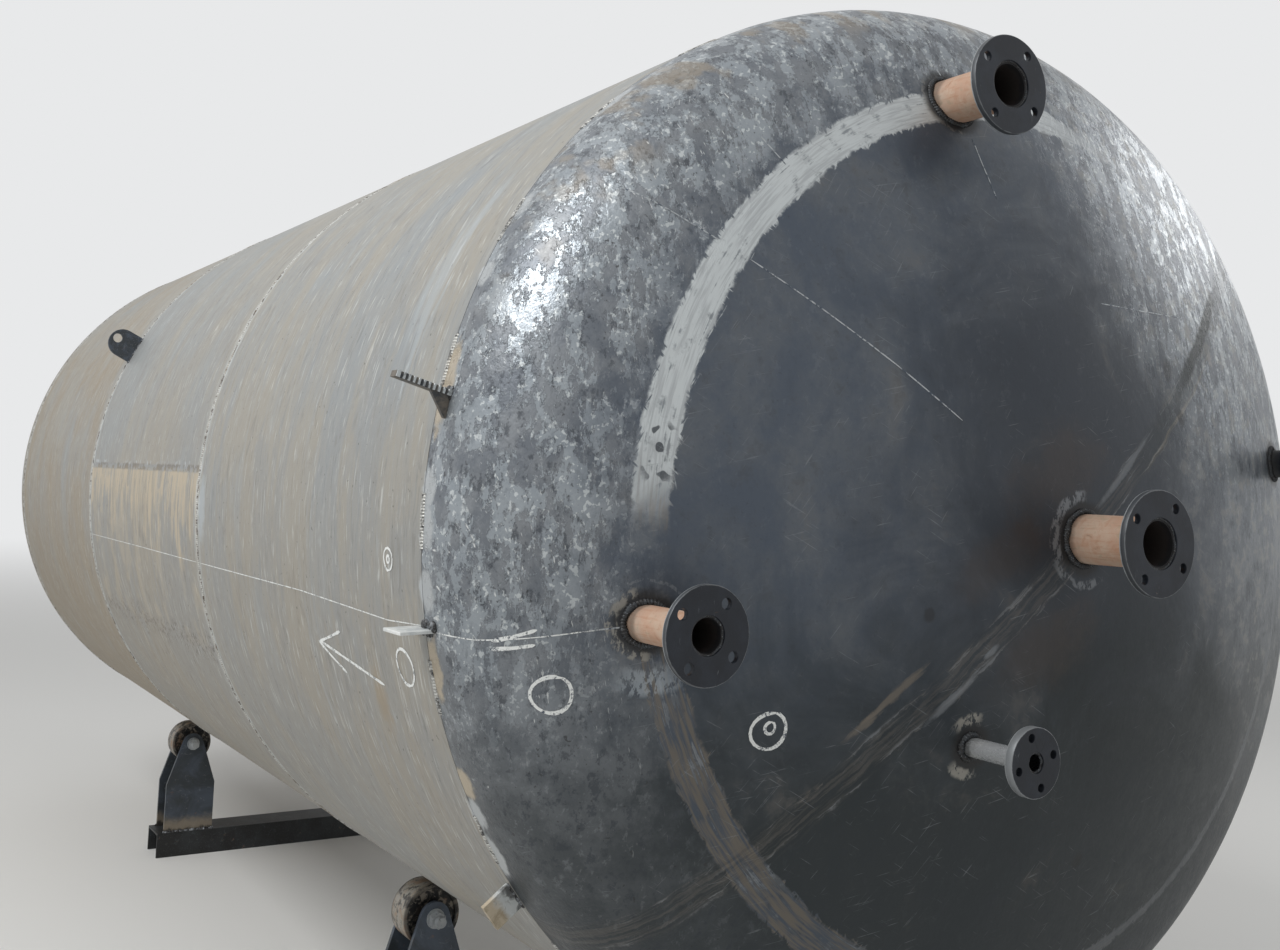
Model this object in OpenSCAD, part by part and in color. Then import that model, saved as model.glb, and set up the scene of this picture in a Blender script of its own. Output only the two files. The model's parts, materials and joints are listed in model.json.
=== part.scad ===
// Horizontal pressure tank lying on two idler roller stands in a shop.
// +X runs along the tank axis to the head with the nozzles, +Z is up.
// The origin is on the floor, under the middle of the overall length.

/* [Tank shell] */
// Outside diameter of the shell
tank_od = 2166; // [1600:2:2600]
// Plate thickness of shell and heads
plate_t = 8; // [6:1:16]
// Length of the front and the middle shell course
course_len = 1500; // [1000:10:2000]
// Length of the rear shell course
rear_course_len = 1620; // [1000:10:2000]
// Angle that the tank has turned on its rollers, left side down
lie_deg = 10; // [0:1:20]

/* [Heads] */
// Straight flange of a head
head_straight = 40; // [25:1:60]
// Crown radius as a share of the outside diameter
crown_ratio = 1.0; // [0.9:0.05:1.2]
// Knuckle radius as a share of the outside diameter
knuckle_ratio = 0.12; // [0.1:0.01:0.16]

/* [Nozzles] */
// Outside diameter of the pipe of the two large nozzles
big_pipe_od = 88.9; // [76:0.1:100]
// Outside diameter of the pipe of the two side nozzles
mid_pipe_od = 60.3; // [48:0.1:70]
// Outside diameter of the pipe of the small nozzle
small_pipe_od = 33.7; // [26:0.1:42]
// Reach of the centre nozzle from the head to its flange face
centre_reach = 160; // [120:1:260]
// Reach of the top nozzle from the head to its flange face
top_reach = 150; // [120:1:260]
// Reach of the two side nozzles from the head to their flange faces
side_reach = 172; // [120:1:260]
// Reach of the low nozzle from the head to its flange face
low_reach = 145; // [100:1:260]

/* [Roller stands] */
// Diameter of a roller
roller_d = 150; // [120:2:200]
// Width of a roller
roller_w = 84; // [60:2:90]
// Angle of a roller from straight below the tank axis
roller_deg = 27.5; // [22:0.5:35]
// Height of the roller axles above the floor
axle_h = 428; // [380:2:520]
// Length of the base channel across the tank
base_len = 1310; // [1290:10:1600]
// Distance of the front stand behind the front seam
stand_front_x = 1142; // [600:10:1300]
// Distance of the rear stand behind the front seam
stand_rear_x = 3540; // [3200:10:4000]

/* [Hidden] */
$fn = 96;
tank_fn = 360;
eps = 1;
// round ends are this much under the width of what they end, so no faces only graze
step_in = 0.3;

tank_r = tank_od / 2;
bore_r = tank_r - plate_t;
shell_len = 2 * course_len + rear_course_len;

// heads: crown and knuckle share their centres inside and outside
crown_r = crown_ratio * tank_od;
knuckle_r = knuckle_ratio * tank_od;
knuckle_c = tank_r - knuckle_r;
dish_h = crown_r - sqrt(pow(crown_r - knuckle_r, 2) - pow(knuckle_c, 2));
crown_c = head_straight + dish_h - crown_r;
tangent_sin = knuckle_c / (crown_r - knuckle_r);
head_depth = head_straight + dish_h;

// places along the axis
root_gap = 2;
seam_a = (shell_len - centre_reach - root_gap) / 2;
head_x = seam_a + root_gap;
seam_b = seam_a - course_len;
seam_c = seam_b - course_len;
seam_d = seam_c - rear_course_len;

// height of the axis over the floor follows from the rollers
roller_r = roller_d / 2;
roller_gap = 0.3;
roller_reach = tank_r + roller_gap + roller_r;
roller_y = roller_reach * sin(roller_deg);
axis_h = axle_h + roller_reach * cos(roller_deg);

// nozzles: [angle seen from the front, distance from the axis]
rim_to_top = 247;
rim_to_side = 243;
centre_at = [0, 0];
top_at = [91.5 + lie_deg, tank_r - rim_to_top];
side_at = [180 + lie_deg, tank_r - rim_to_side];
right_at = [1 + lie_deg, tank_r - rim_to_side];
low_at = [226 + lie_deg, 430];

// nozzle sizes: [pipe r, pipe wall, flange r, flange t, hole circle r, hole r, first hole angle, reach]
big_wall = 5.5;
mid_wall = 3.9;
small_wall = 3.4;
centre_size = [big_pipe_od / 2, big_wall, 92, 12, 73, 8.75, 45, centre_reach];
top_size = [big_pipe_od / 2, big_wall, 92, 12, 73, 8.75, 45, top_reach];
side_size = [mid_pipe_od / 2, mid_wall, 76, 10, 57, 8.75, 45, side_reach];
low_size = [small_pipe_od / 2, small_wall, 57, 16, 41.5, 7, 5, low_reach];
pipe_inside = 14;
pipe_setback = 5;
collar_w = 9;
collar_h = 7;
flange_weld = 6;

// weld beads on the seams
bead_w = 14;
bead_h = 2.5;
tack_count = 24;
tack_deg = 5;
tack_start = 12.5;

// lifting lug
lug_w = 100;
lug_t = 12;
lug_straight = 53;
lug_hole_r = 16.5;
lug_hole_h = 76.5;
lug_hole_off = 7;
lug_deg = 153;
lug_x = seam_c + bead_w / 2 + 5;

// fit-up plates at the front seam
dog_deg = 168.4;
dog_tilt = 4;
dog_reach = 105;
dog_len = 28;
dog_front = 50;
dog_t = 11;
gusset = 44;
gusset_t = 9;
notch_r = 3;
notch_pitch = 9.5;
tab_deg = 179.7 + lie_deg;
tab_tilt = 8;
tab_reach = 62;
tab_len = 76;
tab_back = 39;
tab_t = 6;
square_deg = 216.5;
square_w = 50;
square_reach = 58;
square_t = 10;

// roller stand
base_w = 150;
base_h = 92;
base_t = 8;
bracket_w = 188;
bracket_t = 12;
bracket_shoulder = 182;
bracket_top_r = 40;
bracket_gap = 104;
axle_r = 12.5;
hex_af = 36;
head_t = 15;
nut_t = 20;
axle_tail = 17;
washer_r = 24;
washer_t = 4;
roller_bore_r = axle_r + 0.3;
roller_rim = 11;
roller_hub_r = 27;
roller_recess = 9;

bead_steel = [0.62, 0.6, 0.56];
plate_steel = [0.55, 0.53, 0.5];
scale_steel = [0.27, 0.3, 0.33];
primer = [0.78, 0.6, 0.48];
dark_steel = [0.16, 0.18, 0.21];
worn_steel = [0.42, 0.36, 0.3];

// put something drawn along +Z with its foot at z = 0 onto the tank axis at x
module on_axis(x) {
  translate([x, 0, axis_h])
    rotate([90, 0, 90])
      children();
}

// rod along X through the tank, at [angle, distance] in the head view
module at_head(spot) {
  translate([0, spot[1] * cos(spot[0]), axis_h + spot[1] * sin(spot[0])])
    children();
}

// inside of a head outline shrunk by d, as a half section
module head_section(d) {
  rt = (crown_r - d) * tangent_sin;
  square([tank_r - d, head_straight]);
  intersection() {
    translate([0, crown_c])
      circle(r = crown_r - d, $fn = tank_fn);
    translate([0, head_straight / 2])
      square([rt, head_depth]);
  }
  intersection() {
    translate([knuckle_c, head_straight])
      circle(r = knuckle_r - d, $fn = tank_fn);
    translate([rt, head_straight / 2])
      square([tank_r - d - rt, knuckle_r]);
  }
}

module head_shell() {
  rotate_extrude($fn = tank_fn)
    difference() {
      head_section(0);
      head_section(plate_t);
      translate([0, -eps])
        square([bore_r, 2 * eps]);
    }
}

module course(x, len) {
  on_axis(x)
    difference() {
      cylinder(r = tank_r, h = len, $fn = tank_fn);
      translate([0, 0, -eps])
        cylinder(r = bore_r, h = len + 2 * eps, $fn = tank_fn);
    }
}

module bead_section() {
  polygon([[tank_r, -bead_w / 2], [tank_r + 0.65 * bead_h, -bead_w / 3], [tank_r + bead_h, 0],
    [tank_r + 0.65 * bead_h, bead_w / 3], [tank_r, bead_w / 2]]);
}

module bead(x) {
  on_axis(x)
    rotate_extrude($fn = tank_fn)
      bead_section();
}

// height of the head's outside over its seam at a distance from the axis
function head_at(r) = crown_c + sqrt(pow(crown_r, 2) - pow(r, 2));

// x of a nozzle's flange face
function face_x(spot, size) = head_x + head_at(spot[1]) + size[7];

module pipe(spot, size) {
  x0 = head_x + head_at(spot[1] + size[0]) - plate_t - pipe_inside;
  x1 = face_x(spot, size) - pipe_setback;
  at_head(spot)
    translate([x0, 0, 0])
      rotate([0, 90, 0])
        difference() {
          cylinder(r = size[0], h = x1 - x0);
          translate([0, 0, -eps])
            cylinder(r = size[0] - size[1], h = x1 - x0 + 2 * eps);
        }
}

module flange(spot, size) {
  at_head(spot)
    translate([face_x(spot, size) - size[3], 0, 0])
      rotate([90, 0, 90])
        difference() {
          cylinder(r = size[2], h = size[3]);
          translate([0, 0, -eps])
            cylinder(r = size[0], h = size[3] + 2 * eps);
          for (i = [0:3])
            rotate([0, 0, size[6] + lie_deg + 90 * i])
              translate([size[4], 0, -eps])
                cylinder(r = size[5], h = size[3] + 2 * eps, $fn = 32);
        }
}

// build-up weld round the pipe on the head, and fillet behind the flange
module nozzle_welds(spot, size) {
  difference() {
    intersection() {
      at_head(spot)
        rotate([0, 90, 0])
          difference() {
            cylinder(r = size[0] + collar_w, h = head_x + head_depth + 50);
            translate([0, 0, -eps])
              cylinder(r = size[0], h = head_x + head_depth + 60);
          }
      on_axis(head_x)
        rotate_extrude($fn = tank_fn)
          head_section(-collar_h);
    }
    on_axis(head_x)
      rotate_extrude($fn = tank_fn)
        head_section(0);
  }
  at_head(spot)
    translate([face_x(spot, size) - size[3], 0, 0])
      rotate([0, -90, 0])
        rotate_extrude()
          polygon([[size[0], 0], [size[0] + flange_weld, 0], [size[0], flange_weld]]);
}

module head_with_holes() {
  difference() {
    on_axis(head_x)
      head_shell();
    for (n = [[centre_at, centre_size], [top_at, top_size], [side_at, side_size],
      [right_at, side_size], [low_at, low_size]])
      at_head(n[0])
        translate([head_x + head_straight, 0, 0])
          rotate([0, 90, 0])
            cylinder(r = n[1][0], h = head_depth + 100);
  }
}

// plate standing out of the tank at an angle; drawn from the axis, cut by the shell
module radial(x, deg) {
  difference() {
    translate([x, 0, axis_h])
      rotate([deg, 0, 0])
        children();
    on_axis(x - 500)
      cylinder(r = tank_r, h = 1000, $fn = tank_fn);
  }
}

// D-shaped plate across the tank, its hole near the rounded end
module lug(deg, hand) {
  radial(lug_x, deg)
    rotate([90, 0, 90])
      linear_extrude(lug_t)
        difference() {
          union() {
            translate([tank_r - 20, -lug_w / 2])
              square([20 + lug_straight, lug_w]);
            translate([tank_r + lug_straight, 0])
              circle(r = lug_w / 2 - step_in);
          }
          translate([tank_r + lug_hole_h, hand * lug_hole_off])
            circle(r = lug_hole_r, $fn = 48);
        }
}

// plate fixed across the head's rim: torch-notched front edge, gusset under it
module dog(deg, hand) {
  radial(head_x, deg)
    translate([0, tank_r, 0])
      rotate([hand * dog_tilt, 0, 0])
        difference() {
          union() {
            translate([dog_front - dog_len, -20, -dog_t / 2])
              cube([dog_len, dog_reach + 20, dog_t]);
            translate([dog_front - gusset_t - notch_r - 1, 0, 0])
              rotate([90, 0, 90])
                linear_extrude(gusset_t)
                  polygon([[-20, 0], [gusset, 0], [0, -hand * gusset], [-20, -hand * gusset]]);
          }
          for (r = [notch_pitch : notch_pitch : dog_reach - notch_r])
            translate([dog_front, r, -dog_t])
              cylinder(r = notch_r, h = 2 * dog_t, $fn = 24);
        }
}

module tab(deg, hand) {
  radial(head_x, deg)
    translate([0, tank_r, 0])
      rotate([hand * tab_tilt, 0, 0])
        translate([-tab_back, -10, -tab_t / 2])
          cube([tab_len, tab_reach + 10, tab_t]);
}

module square_tab(deg) {
  radial(head_x, deg)
    translate([-square_t - 12, tank_r - 10, -square_w / 2])
      cube([square_t, square_reach + 10, square_w]);
}

module base(x) {
  color(dark_steel)
    translate([x - base_w / 2, -base_len / 2, 0])
      difference() {
        cube([base_w, base_len, base_h]);
        translate([base_t, -eps, -eps])
          cube([base_w - 2 * base_t, base_len + 2 * eps, base_h - base_t + eps]);
      }
}

// stand plate: shoulders, then flanks that run into a round end about the axle
module bracket(x) {
  eye = axle_h - base_h;
  run = norm([bracket_w / 2, bracket_shoulder - eye]);
  turn = atan2(bracket_shoulder - eye, bracket_w / 2) + acos(bracket_top_r / run);
  touch = [bracket_top_r * cos(turn), eye + bracket_top_r * sin(turn)];
  translate([x, 0, base_h])
    rotate([90, 0, 90])
      linear_extrude(bracket_t)
        difference() {
          union() {
            polygon([[-bracket_w / 2, 0], [bracket_w / 2, 0], [bracket_w / 2, bracket_shoulder],
              touch, [-touch[0], touch[1]], [-bracket_w / 2, bracket_shoulder]]);
            translate([0, eye])
              circle(r = bracket_top_r - step_in);
          }
          translate([0, eye])
            circle(r = axle_r);
        }
}

module brackets(x, y) {
  color(dark_steel)
    translate([x, y, 0]) {
      bracket(bracket_gap / 2);
      bracket(-bracket_gap / 2 - bracket_t);
    }
}

// bolt through the stand plates: head, shank, washer and nut
module axle(x, y) {
  half = bracket_gap / 2 + bracket_t;
  color(dark_steel)
    translate([x, y, axle_h])
      rotate([0, 90, 0])
        union() {
          translate([0, 0, -half - head_t])
            cylinder(d = hex_af / cos(30), h = head_t, $fn = 6);
          translate([0, 0, -half - head_t / 2])
            cylinder(r = axle_r, h = 2 * half + head_t / 2 + washer_t + nut_t + axle_tail);
          translate([0, 0, half])
            cylinder(r = washer_r, h = washer_t);
          translate([0, 0, half + washer_t])
            cylinder(d = hex_af / cos(30), h = nut_t, $fn = 6);
        }
}

// roller with a hub and a rim standing out of recessed side faces
module roller(x, y) {
  color(worn_steel)
    translate([x - roller_w / 2, y, axle_h])
      rotate([0, 90, 0])
        difference() {
          cylinder(r = roller_r, h = roller_w);
          translate([0, 0, -eps])
            cylinder(r = roller_bore_r, h = roller_w + 2 * eps);
          for (z = [-eps, roller_w - roller_recess])
            translate([0, 0, z])
              difference() {
                cylinder(r = roller_r - roller_rim, h = roller_recess + eps);
                translate([0, 0, -eps])
                  cylinder(r = roller_hub_r, h = roller_recess + 3 * eps);
              }
        }
}

front_x = seam_a - stand_front_x;
rear_x = seam_a - stand_rear_x;

module shell_front() { color(plate_steel) course(seam_b, course_len); }
module shell_middle() { color(plate_steel) course(seam_c, course_len); }
module shell_rear() { color(plate_steel) course(seam_d, rear_course_len); }
module head_front() { color(scale_steel) head_with_holes(); }
module head_rear() {
  color(plate_steel)
    mirror([1, 0, 0])
      on_axis(-seam_d)
        head_shell();
}
module seam_tacks_front() {
  color(bead_steel)
    for (i = [0:tack_count - 1])
      translate([seam_a + root_gap / 2, 0, axis_h])
        rotate([i * 360 / tack_count + tack_start, 0, 0])
          rotate([90, 0, 90])
            rotate_extrude(angle = tack_deg, $fn = tank_fn)
              bead_section();
}
module seam_weld_middle() { color(bead_steel) bead(seam_b); }
module seam_weld_rear() { color(bead_steel) bead(seam_c); }
module seam_weld_rear_head() { color(bead_steel) bead(seam_d); }
module pipe_centre() { color(primer) pipe(centre_at, centre_size); }
module pipe_top() { color(primer) pipe(top_at, top_size); }
module pipe_side() { color(primer) pipe(side_at, side_size); }
module pipe_right() { color(dark_steel) pipe(right_at, side_size); }
module pipe_low() { color(bead_steel) pipe(low_at, low_size); }
module flange_centre() { color(dark_steel) flange(centre_at, centre_size); }
module flange_top() { color(dark_steel) flange(top_at, top_size); }
module flange_side() { color(dark_steel) flange(side_at, side_size); }
module flange_right() { color(dark_steel) flange(right_at, side_size); }
module flange_low() { color(dark_steel) flange(low_at, low_size); }
module welds_centre() { color(bead_steel) nozzle_welds(centre_at, centre_size); }
module welds_top() { color(bead_steel) nozzle_welds(top_at, top_size); }
module welds_side() { color(bead_steel) nozzle_welds(side_at, side_size); }
module welds_right() { color(bead_steel) nozzle_welds(right_at, side_size); }
module welds_low() { color(bead_steel) nozzle_welds(low_at, low_size); }
module lug_left() { color(dark_steel) lug(lug_deg, -1); }
module lug_right() { color(dark_steel) lug(180 - lug_deg, 1); }
module dog_left() { color(dark_steel) dog(dog_deg, -1); }
module dog_right() { color(dark_steel) dog(180 - dog_deg, 1); }
module tab_left() { color(bead_steel) tab(tab_deg, -1); }
module tab_right() { color(bead_steel) tab(180 - tab_deg, 1); }
module square_left() { color(primer) square_tab(square_deg); }
module square_right() { color(primer) square_tab(180 - square_deg); }
module base_front() { base(front_x); }
module base_rear() { base(rear_x); }
module brackets_front_left() { brackets(front_x, -roller_y); }
module brackets_front_right() { brackets(front_x, roller_y); }
module brackets_rear_left() { brackets(rear_x, -roller_y); }
module brackets_rear_right() { brackets(rear_x, roller_y); }
module axle_front_left() { axle(front_x, -roller_y); }
module axle_front_right() { axle(front_x, roller_y); }
module axle_rear_left() { axle(rear_x, -roller_y); }
module axle_rear_right() { axle(rear_x, roller_y); }
module roller_front_left() { roller(front_x, -roller_y); }
module roller_front_right() { roller(front_x, roller_y); }
module roller_rear_left() { roller(rear_x, -roller_y); }
module roller_rear_right() { roller(rear_x, roller_y); }

shell_front();
shell_middle();
shell_rear();
head_front();
head_rear();
seam_tacks_front();
seam_weld_middle();
seam_weld_rear();
seam_weld_rear_head();
pipe_centre();
pipe_top();
pipe_side();
pipe_right();
pipe_low();
flange_centre();
flange_top();
flange_side();
flange_right();
flange_low();
welds_centre();
welds_top();
welds_side();
welds_right();
welds_low();
lug_left();
lug_right();
dog_left();
dog_right();
tab_left();
tab_right();
square_left();
square_right();
base_front();
base_rear();
brackets_front_left();
brackets_front_right();
brackets_rear_left();
brackets_rear_right();
axle_front_left();
axle_front_right();
axle_rear_left();
axle_rear_right();
roller_front_left();
roller_front_right();
roller_rear_left();
roller_rear_right();
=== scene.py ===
import json
import math

import bmesh
import bpy
from bpy.props import FloatProperty, FloatVectorProperty, IntProperty, PointerProperty
from mathutils import Matrix, Vector


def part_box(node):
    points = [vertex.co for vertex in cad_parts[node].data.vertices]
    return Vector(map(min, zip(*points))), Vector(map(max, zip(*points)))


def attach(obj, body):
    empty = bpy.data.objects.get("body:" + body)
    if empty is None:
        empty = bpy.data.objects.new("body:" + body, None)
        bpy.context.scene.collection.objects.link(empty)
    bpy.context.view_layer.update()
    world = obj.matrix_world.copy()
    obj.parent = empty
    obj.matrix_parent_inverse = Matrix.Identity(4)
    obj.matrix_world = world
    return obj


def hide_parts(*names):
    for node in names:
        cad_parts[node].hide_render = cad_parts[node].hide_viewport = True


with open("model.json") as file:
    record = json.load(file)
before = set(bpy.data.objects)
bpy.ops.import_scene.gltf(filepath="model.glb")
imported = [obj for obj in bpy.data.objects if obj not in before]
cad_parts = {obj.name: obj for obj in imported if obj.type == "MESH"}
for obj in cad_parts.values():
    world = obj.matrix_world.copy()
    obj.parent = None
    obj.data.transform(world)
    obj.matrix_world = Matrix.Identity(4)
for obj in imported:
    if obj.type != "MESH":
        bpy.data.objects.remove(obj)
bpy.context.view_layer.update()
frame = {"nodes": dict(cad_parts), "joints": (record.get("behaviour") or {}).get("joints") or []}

bl_info = {
    "name": "Pressure tank on roller stands",
    "version": (1, 0, 0),
    "blender": (4, 5, 0),
    "location": "View3D > Sidebar > Tank",
    "description": "Finishes, weld beads, chalk marks and scratches of a horizontal tank in the workshop",
    "category": "Object",
}

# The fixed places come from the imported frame.
TURN = next(j for j in frame["joints"] if j["name"] == "vessel_turn")
AXIS_Z = TURN["pos_m"][2]
SEAM_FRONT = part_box("shell_front")[1].x
SEAM_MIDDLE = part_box("shell_middle")[1].x
SEAM_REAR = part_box("shell_rear")[1].x
SEAM_REAR_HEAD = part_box("shell_rear")[0].x
SHELL_R = (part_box("shell_middle")[1].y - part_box("shell_middle")[0].y) / 2
HEAD_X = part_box("head_front")[0].x
HEAD_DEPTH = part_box("head_front")[1].x - HEAD_X
CROWN_R = 2 * SHELL_R
KNUCKLE_R = 0.12 * CROWN_R
KNUCKLE_AT = SHELL_R - KNUCKLE_R
CROWN_X = HEAD_X + HEAD_DEPTH - CROWN_R
KNUCKLE_X = CROWN_X + math.sqrt((CROWN_R - KNUCKLE_R) ** 2 - KNUCKLE_AT**2)
KNUCKLE_START = CROWN_R * KNUCKLE_AT / (CROWN_R - KNUCKLE_R)
# Sizes along the tank so large that a pattern changes little, or not at all, in that direction.
SPOT_REACH = 9.0
THROUGH = 1e6

STAND_PLACES = ("front_left", "front_right", "rear_left", "rear_right")
# Number of lumps in the weld along the foot of a stand plate.
STAND_LUMPS = 21
# A ring drawn by hand: number of points, and where it starts and how far it runs, in degrees.
RING_POINTS, RING_START, RING_SWEEP = 40, 70.0, 368.0
NOZZLES = ("centre", "top", "side", "right", "low")
RIPPLE_LOBES = {"centre": 62, "top": 62, "side": 44, "right": 44, "low": 28}
# Arcs on the head round a nozzle: middle radius, half width, way and spread, colour, strength.
NOZZLE_HALOS = (
    ("centre", 0.076, 0.014, -0.86, 0.50, 0.35, "scale_pale", 0.70),
    ("centre", 0.084, 0.010, -0.25, -0.97, 0.60, "scale_pale", 0.55),
    ("side", 0.052, 0.010, -0.95, -0.25, -0.05, "plate_beige", 0.70),
    ("side", 0.068, 0.003, 0.45, 0.89, 0.45, "scale_pale", 0.45),
    ("side", 0.094, 0.026, 0.10, -0.99, 0.78, "wiped_blue", 0.50),
    ("top", 0.064, 0.005, -0.90, -0.43, 0.20, "plate_beige", 0.30),
    ("low", 0.048, 0.013, -0.24, 0.97, 0.72, "plate_beige", 0.85),
    ("low", 0.046, 0.012, -0.30, -0.95, 0.72, "plate_beige", 0.80),
)
# Angles round the axis where the plates welded to the tank stand, on the left; the right ones mirror them.
LUG_DEG = 153.0
DOG_DEG = 168.4
TAB_DEG = 189.7
SQUARE_DEG = 216.5
# Angles round the axis of the patches that were ground bright at the front seam.
GROUND_PATCHES = (
    (133.0, 0.046), (148.4, 0.024), (156.1, 0.024), (177.0, 0.030), (180.5, 0.036), (186.2, 0.034), (207.0, 0.030),
    (211.5, 0.044), (64.0, 0.050), (38.0, 0.034),
)
WORN_PATCHES = ((167.5, 0.082), (193.0, 0.052), (204.0, 0.030), (16.0, 0.050), (348.0, 0.050))
# The studio: radius of the floor, and where it fades into the background.
FLOOR_R, FADE_START, FADE_END = 45.0, 5.0, 26.0
# Width and height of a lamp, where it stands and what it points at.
KEY_LAMP = (4.2, 2.6, (1.2, -5.4, 6.4), (0.9, 0.0, 1.4))
RIM_LAMP = (2.6, 1.7, (2.2, 5.4, 4.2), (2.4, 0.4, 1.8))
# The photograph's frame is a cut from a wider one, so the view is shifted.
SENSOR_MM, SHIFT_X, SHIFT_Y = 36.0, 0.01832, -0.11606


def paint(red, green, blue):
    """A colour as it is seen on a screen, turned into the linear values that shaders take."""
    return tuple(
        c / 12.92 if c <= 0.04045 else ((c + 0.055) / 1.055) ** 2.4
        for c in (red / 255, green / 255, blue / 255)
    )


def colour_prop(name, description, red, green, blue):
    return FloatVectorProperty(
        name=name, description=description, default=paint(red, green, blue),
        subtype="COLOR", size=3, min=0.0, max=1.0,
    )


class TankColours(bpy.types.PropertyGroup):
    """Colours of the plate, the marks and the fittings."""

    plate_grey: colour_prop("Plate grey", "Main grey of the rolled shell plate", 146, 149, 149)
    plate_blue: colour_prop("Plate blue", "Bluish mill scale areas of the shell", 138, 146, 152)
    plate_beige: colour_prop("Plate beige", "Pale beige streaks on the shell", 154, 151, 143)
    # light rust on the shell, and also the painted shade low on the shell
    plate_tan: colour_prop("Plate tan", "Light rust on the shell", 150, 137, 117)
    # pale bluish wiping marks, and also the painted highlight on sprung scale of the front head
    wiped_blue: colour_prop("Wiped blue", "Pale bluish wiping marks", 178, 187, 193)
    field_tan: colour_prop("Field tan", "Tan area of the middle course", 184, 171, 149)
    scale_blue: colour_prop("Scale blue", "Blue grey mill scale of the front head", 76, 84, 95)
    scale_grey: colour_prop("Scale grey", "Greyer mill scale of the front head", 92, 97, 103)
    # dark mill scale, and the painted shade in the middle of the front head
    scale_dark: colour_prop("Scale dark", "Dark mill scale in the middle of the head", 48, 53, 60)
    # green black: painted shade low on the front head, and the dark core of the ground seam
    scale_low: colour_prop("Scale low", "Green black mill scale low on the head", 34, 40, 41)
    # rubbed mill scale, and also the painted highlight on the knuckle and at the upper right of the front head
    scale_pale: colour_prop("Scale pale", "Rubbed mill scale at the knuckle", 134, 138, 142)
    # steel bared by the grinding disc, and also the painted highlight on the flange rims
    ground_steel: colour_prop("Ground steel", "Steel bared by the grinding disc", 172, 176, 178)
    # whitest ground steel, and also the painted glints on the front head and the painted highlight on the dog's cut
    # edge
    ring_white: colour_prop("Ring white", "Whitest part of the ground ring", 194, 199, 200)
    ring_tan: colour_prop("Ring tan", "Tan brushing beside welds and seams", 156, 143, 120)
    ground_brown: colour_prop("Ground brown", "Ground steel that has gone brown again", 112, 105, 96)
    scorch: colour_prop("Scorch", "Brown heat marks", 76, 64, 54)
    rust: colour_prop("Rust", "Loose orange rust", 140, 98, 62)
    weld_grey: colour_prop("Weld grey", "Brushed weld beads", 196, 196, 191)
    weld_dark: colour_prop("Weld dark", "Slag and soot beside the beads", 42, 41, 41)
    primer: colour_prop("Primer", "Salmon primer of the nozzle pipes", 184, 150, 128)
    primer_pale: colour_prop("Primer pale", "Faded primer", 190, 170, 151)
    primer_deep: colour_prop("Primer deep", "Thicker streaks of primer", 172, 128, 100)
    pipe_steel: colour_prop("Pipe steel", "Bare steel of the small pipe", 206, 208, 210)
    # near black: painted shade in the pipe bores, and the blotches on the hollow faces of the rollers
    bore_black: colour_prop("Bore black", "Soot and grease in bores and hollows", 20, 22, 25)
    flange_black: colour_prop("Flange black", "Blue black varnish of the flanges", 28, 32, 39)
    flange_blue: colour_prop("Flange blue", "Thinner varnish of the flanges", 44, 50, 60)
    fitting_dark: colour_prop("Fitting dark", "Scaled steel of the lugs and cut plates", 58, 62, 66)
    stand_dark: colour_prop("Stand dark", "Dark scale of the stand plates", 58, 63, 67)
    stand_black: colour_prop("Stand black", "Old black paint of the base channels", 16, 17, 17)
    roller_brown: colour_prop("Roller brown", "Worn rusty rollers", 150, 141, 128)
    # marking chalk, and also the painted glints on the knuckle of the front head
    chalk: colour_prop("Chalk", "Marking chalk", 226, 228, 226)
    floor: colour_prop("Floor", "Studio floor", 226, 226, 224)


class TankSizes(bpy.types.PropertyGroup):
    """Sizes of the marks and of the small details."""

    chalk_width: FloatProperty(
        name="Chalk width", description="Width of a chalk stroke", default=0.0058,
        min=0.002, max=0.02, unit="LENGTH")
    scribe_width: FloatProperty(
        name="Scribe width", description="Width of a scribed line or scratch", default=0.0022,
        min=0.001, max=0.01, unit="LENGTH")
    mark_lift: FloatProperty(
        name="Mark lift", description="Height of a mark above the plate", default=0.00045,
        min=0.0002, max=0.002, unit="LENGTH")
    ring_radius: FloatProperty(
        name="Ring radius", description="Middle radius of the ground ring on the front head", default=0.829,
        min=0.5, max=1.0, unit="LENGTH")
    ring_width: FloatProperty(
        name="Ring width", description="Width of the ground ring on the front head", default=0.060,
        min=0.02, max=0.12, unit="LENGTH")
    seam_turn: FloatProperty(
        name="Seam turn", description="Angle of the ground seam across the front head",
        default=math.radians(39.9), subtype="ANGLE")
    seam_width: FloatProperty(
        name="Seam width", description="Distance between the two ground lines of that seam", default=0.046,
        min=0.01, max=0.12, unit="LENGTH")
    ripple_pitch: FloatProperty(
        name="Ripple pitch", description="Distance between the ripples of the long weld beads", default=0.0055,
        min=0.003, max=0.02, unit="LENGTH")
    edge_break: FloatProperty(
        name="Edge break", description="Small bevel along the edges of the plates and flanges", default=0.0012,
        min=0.0005, max=0.003, unit="LENGTH")


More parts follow.
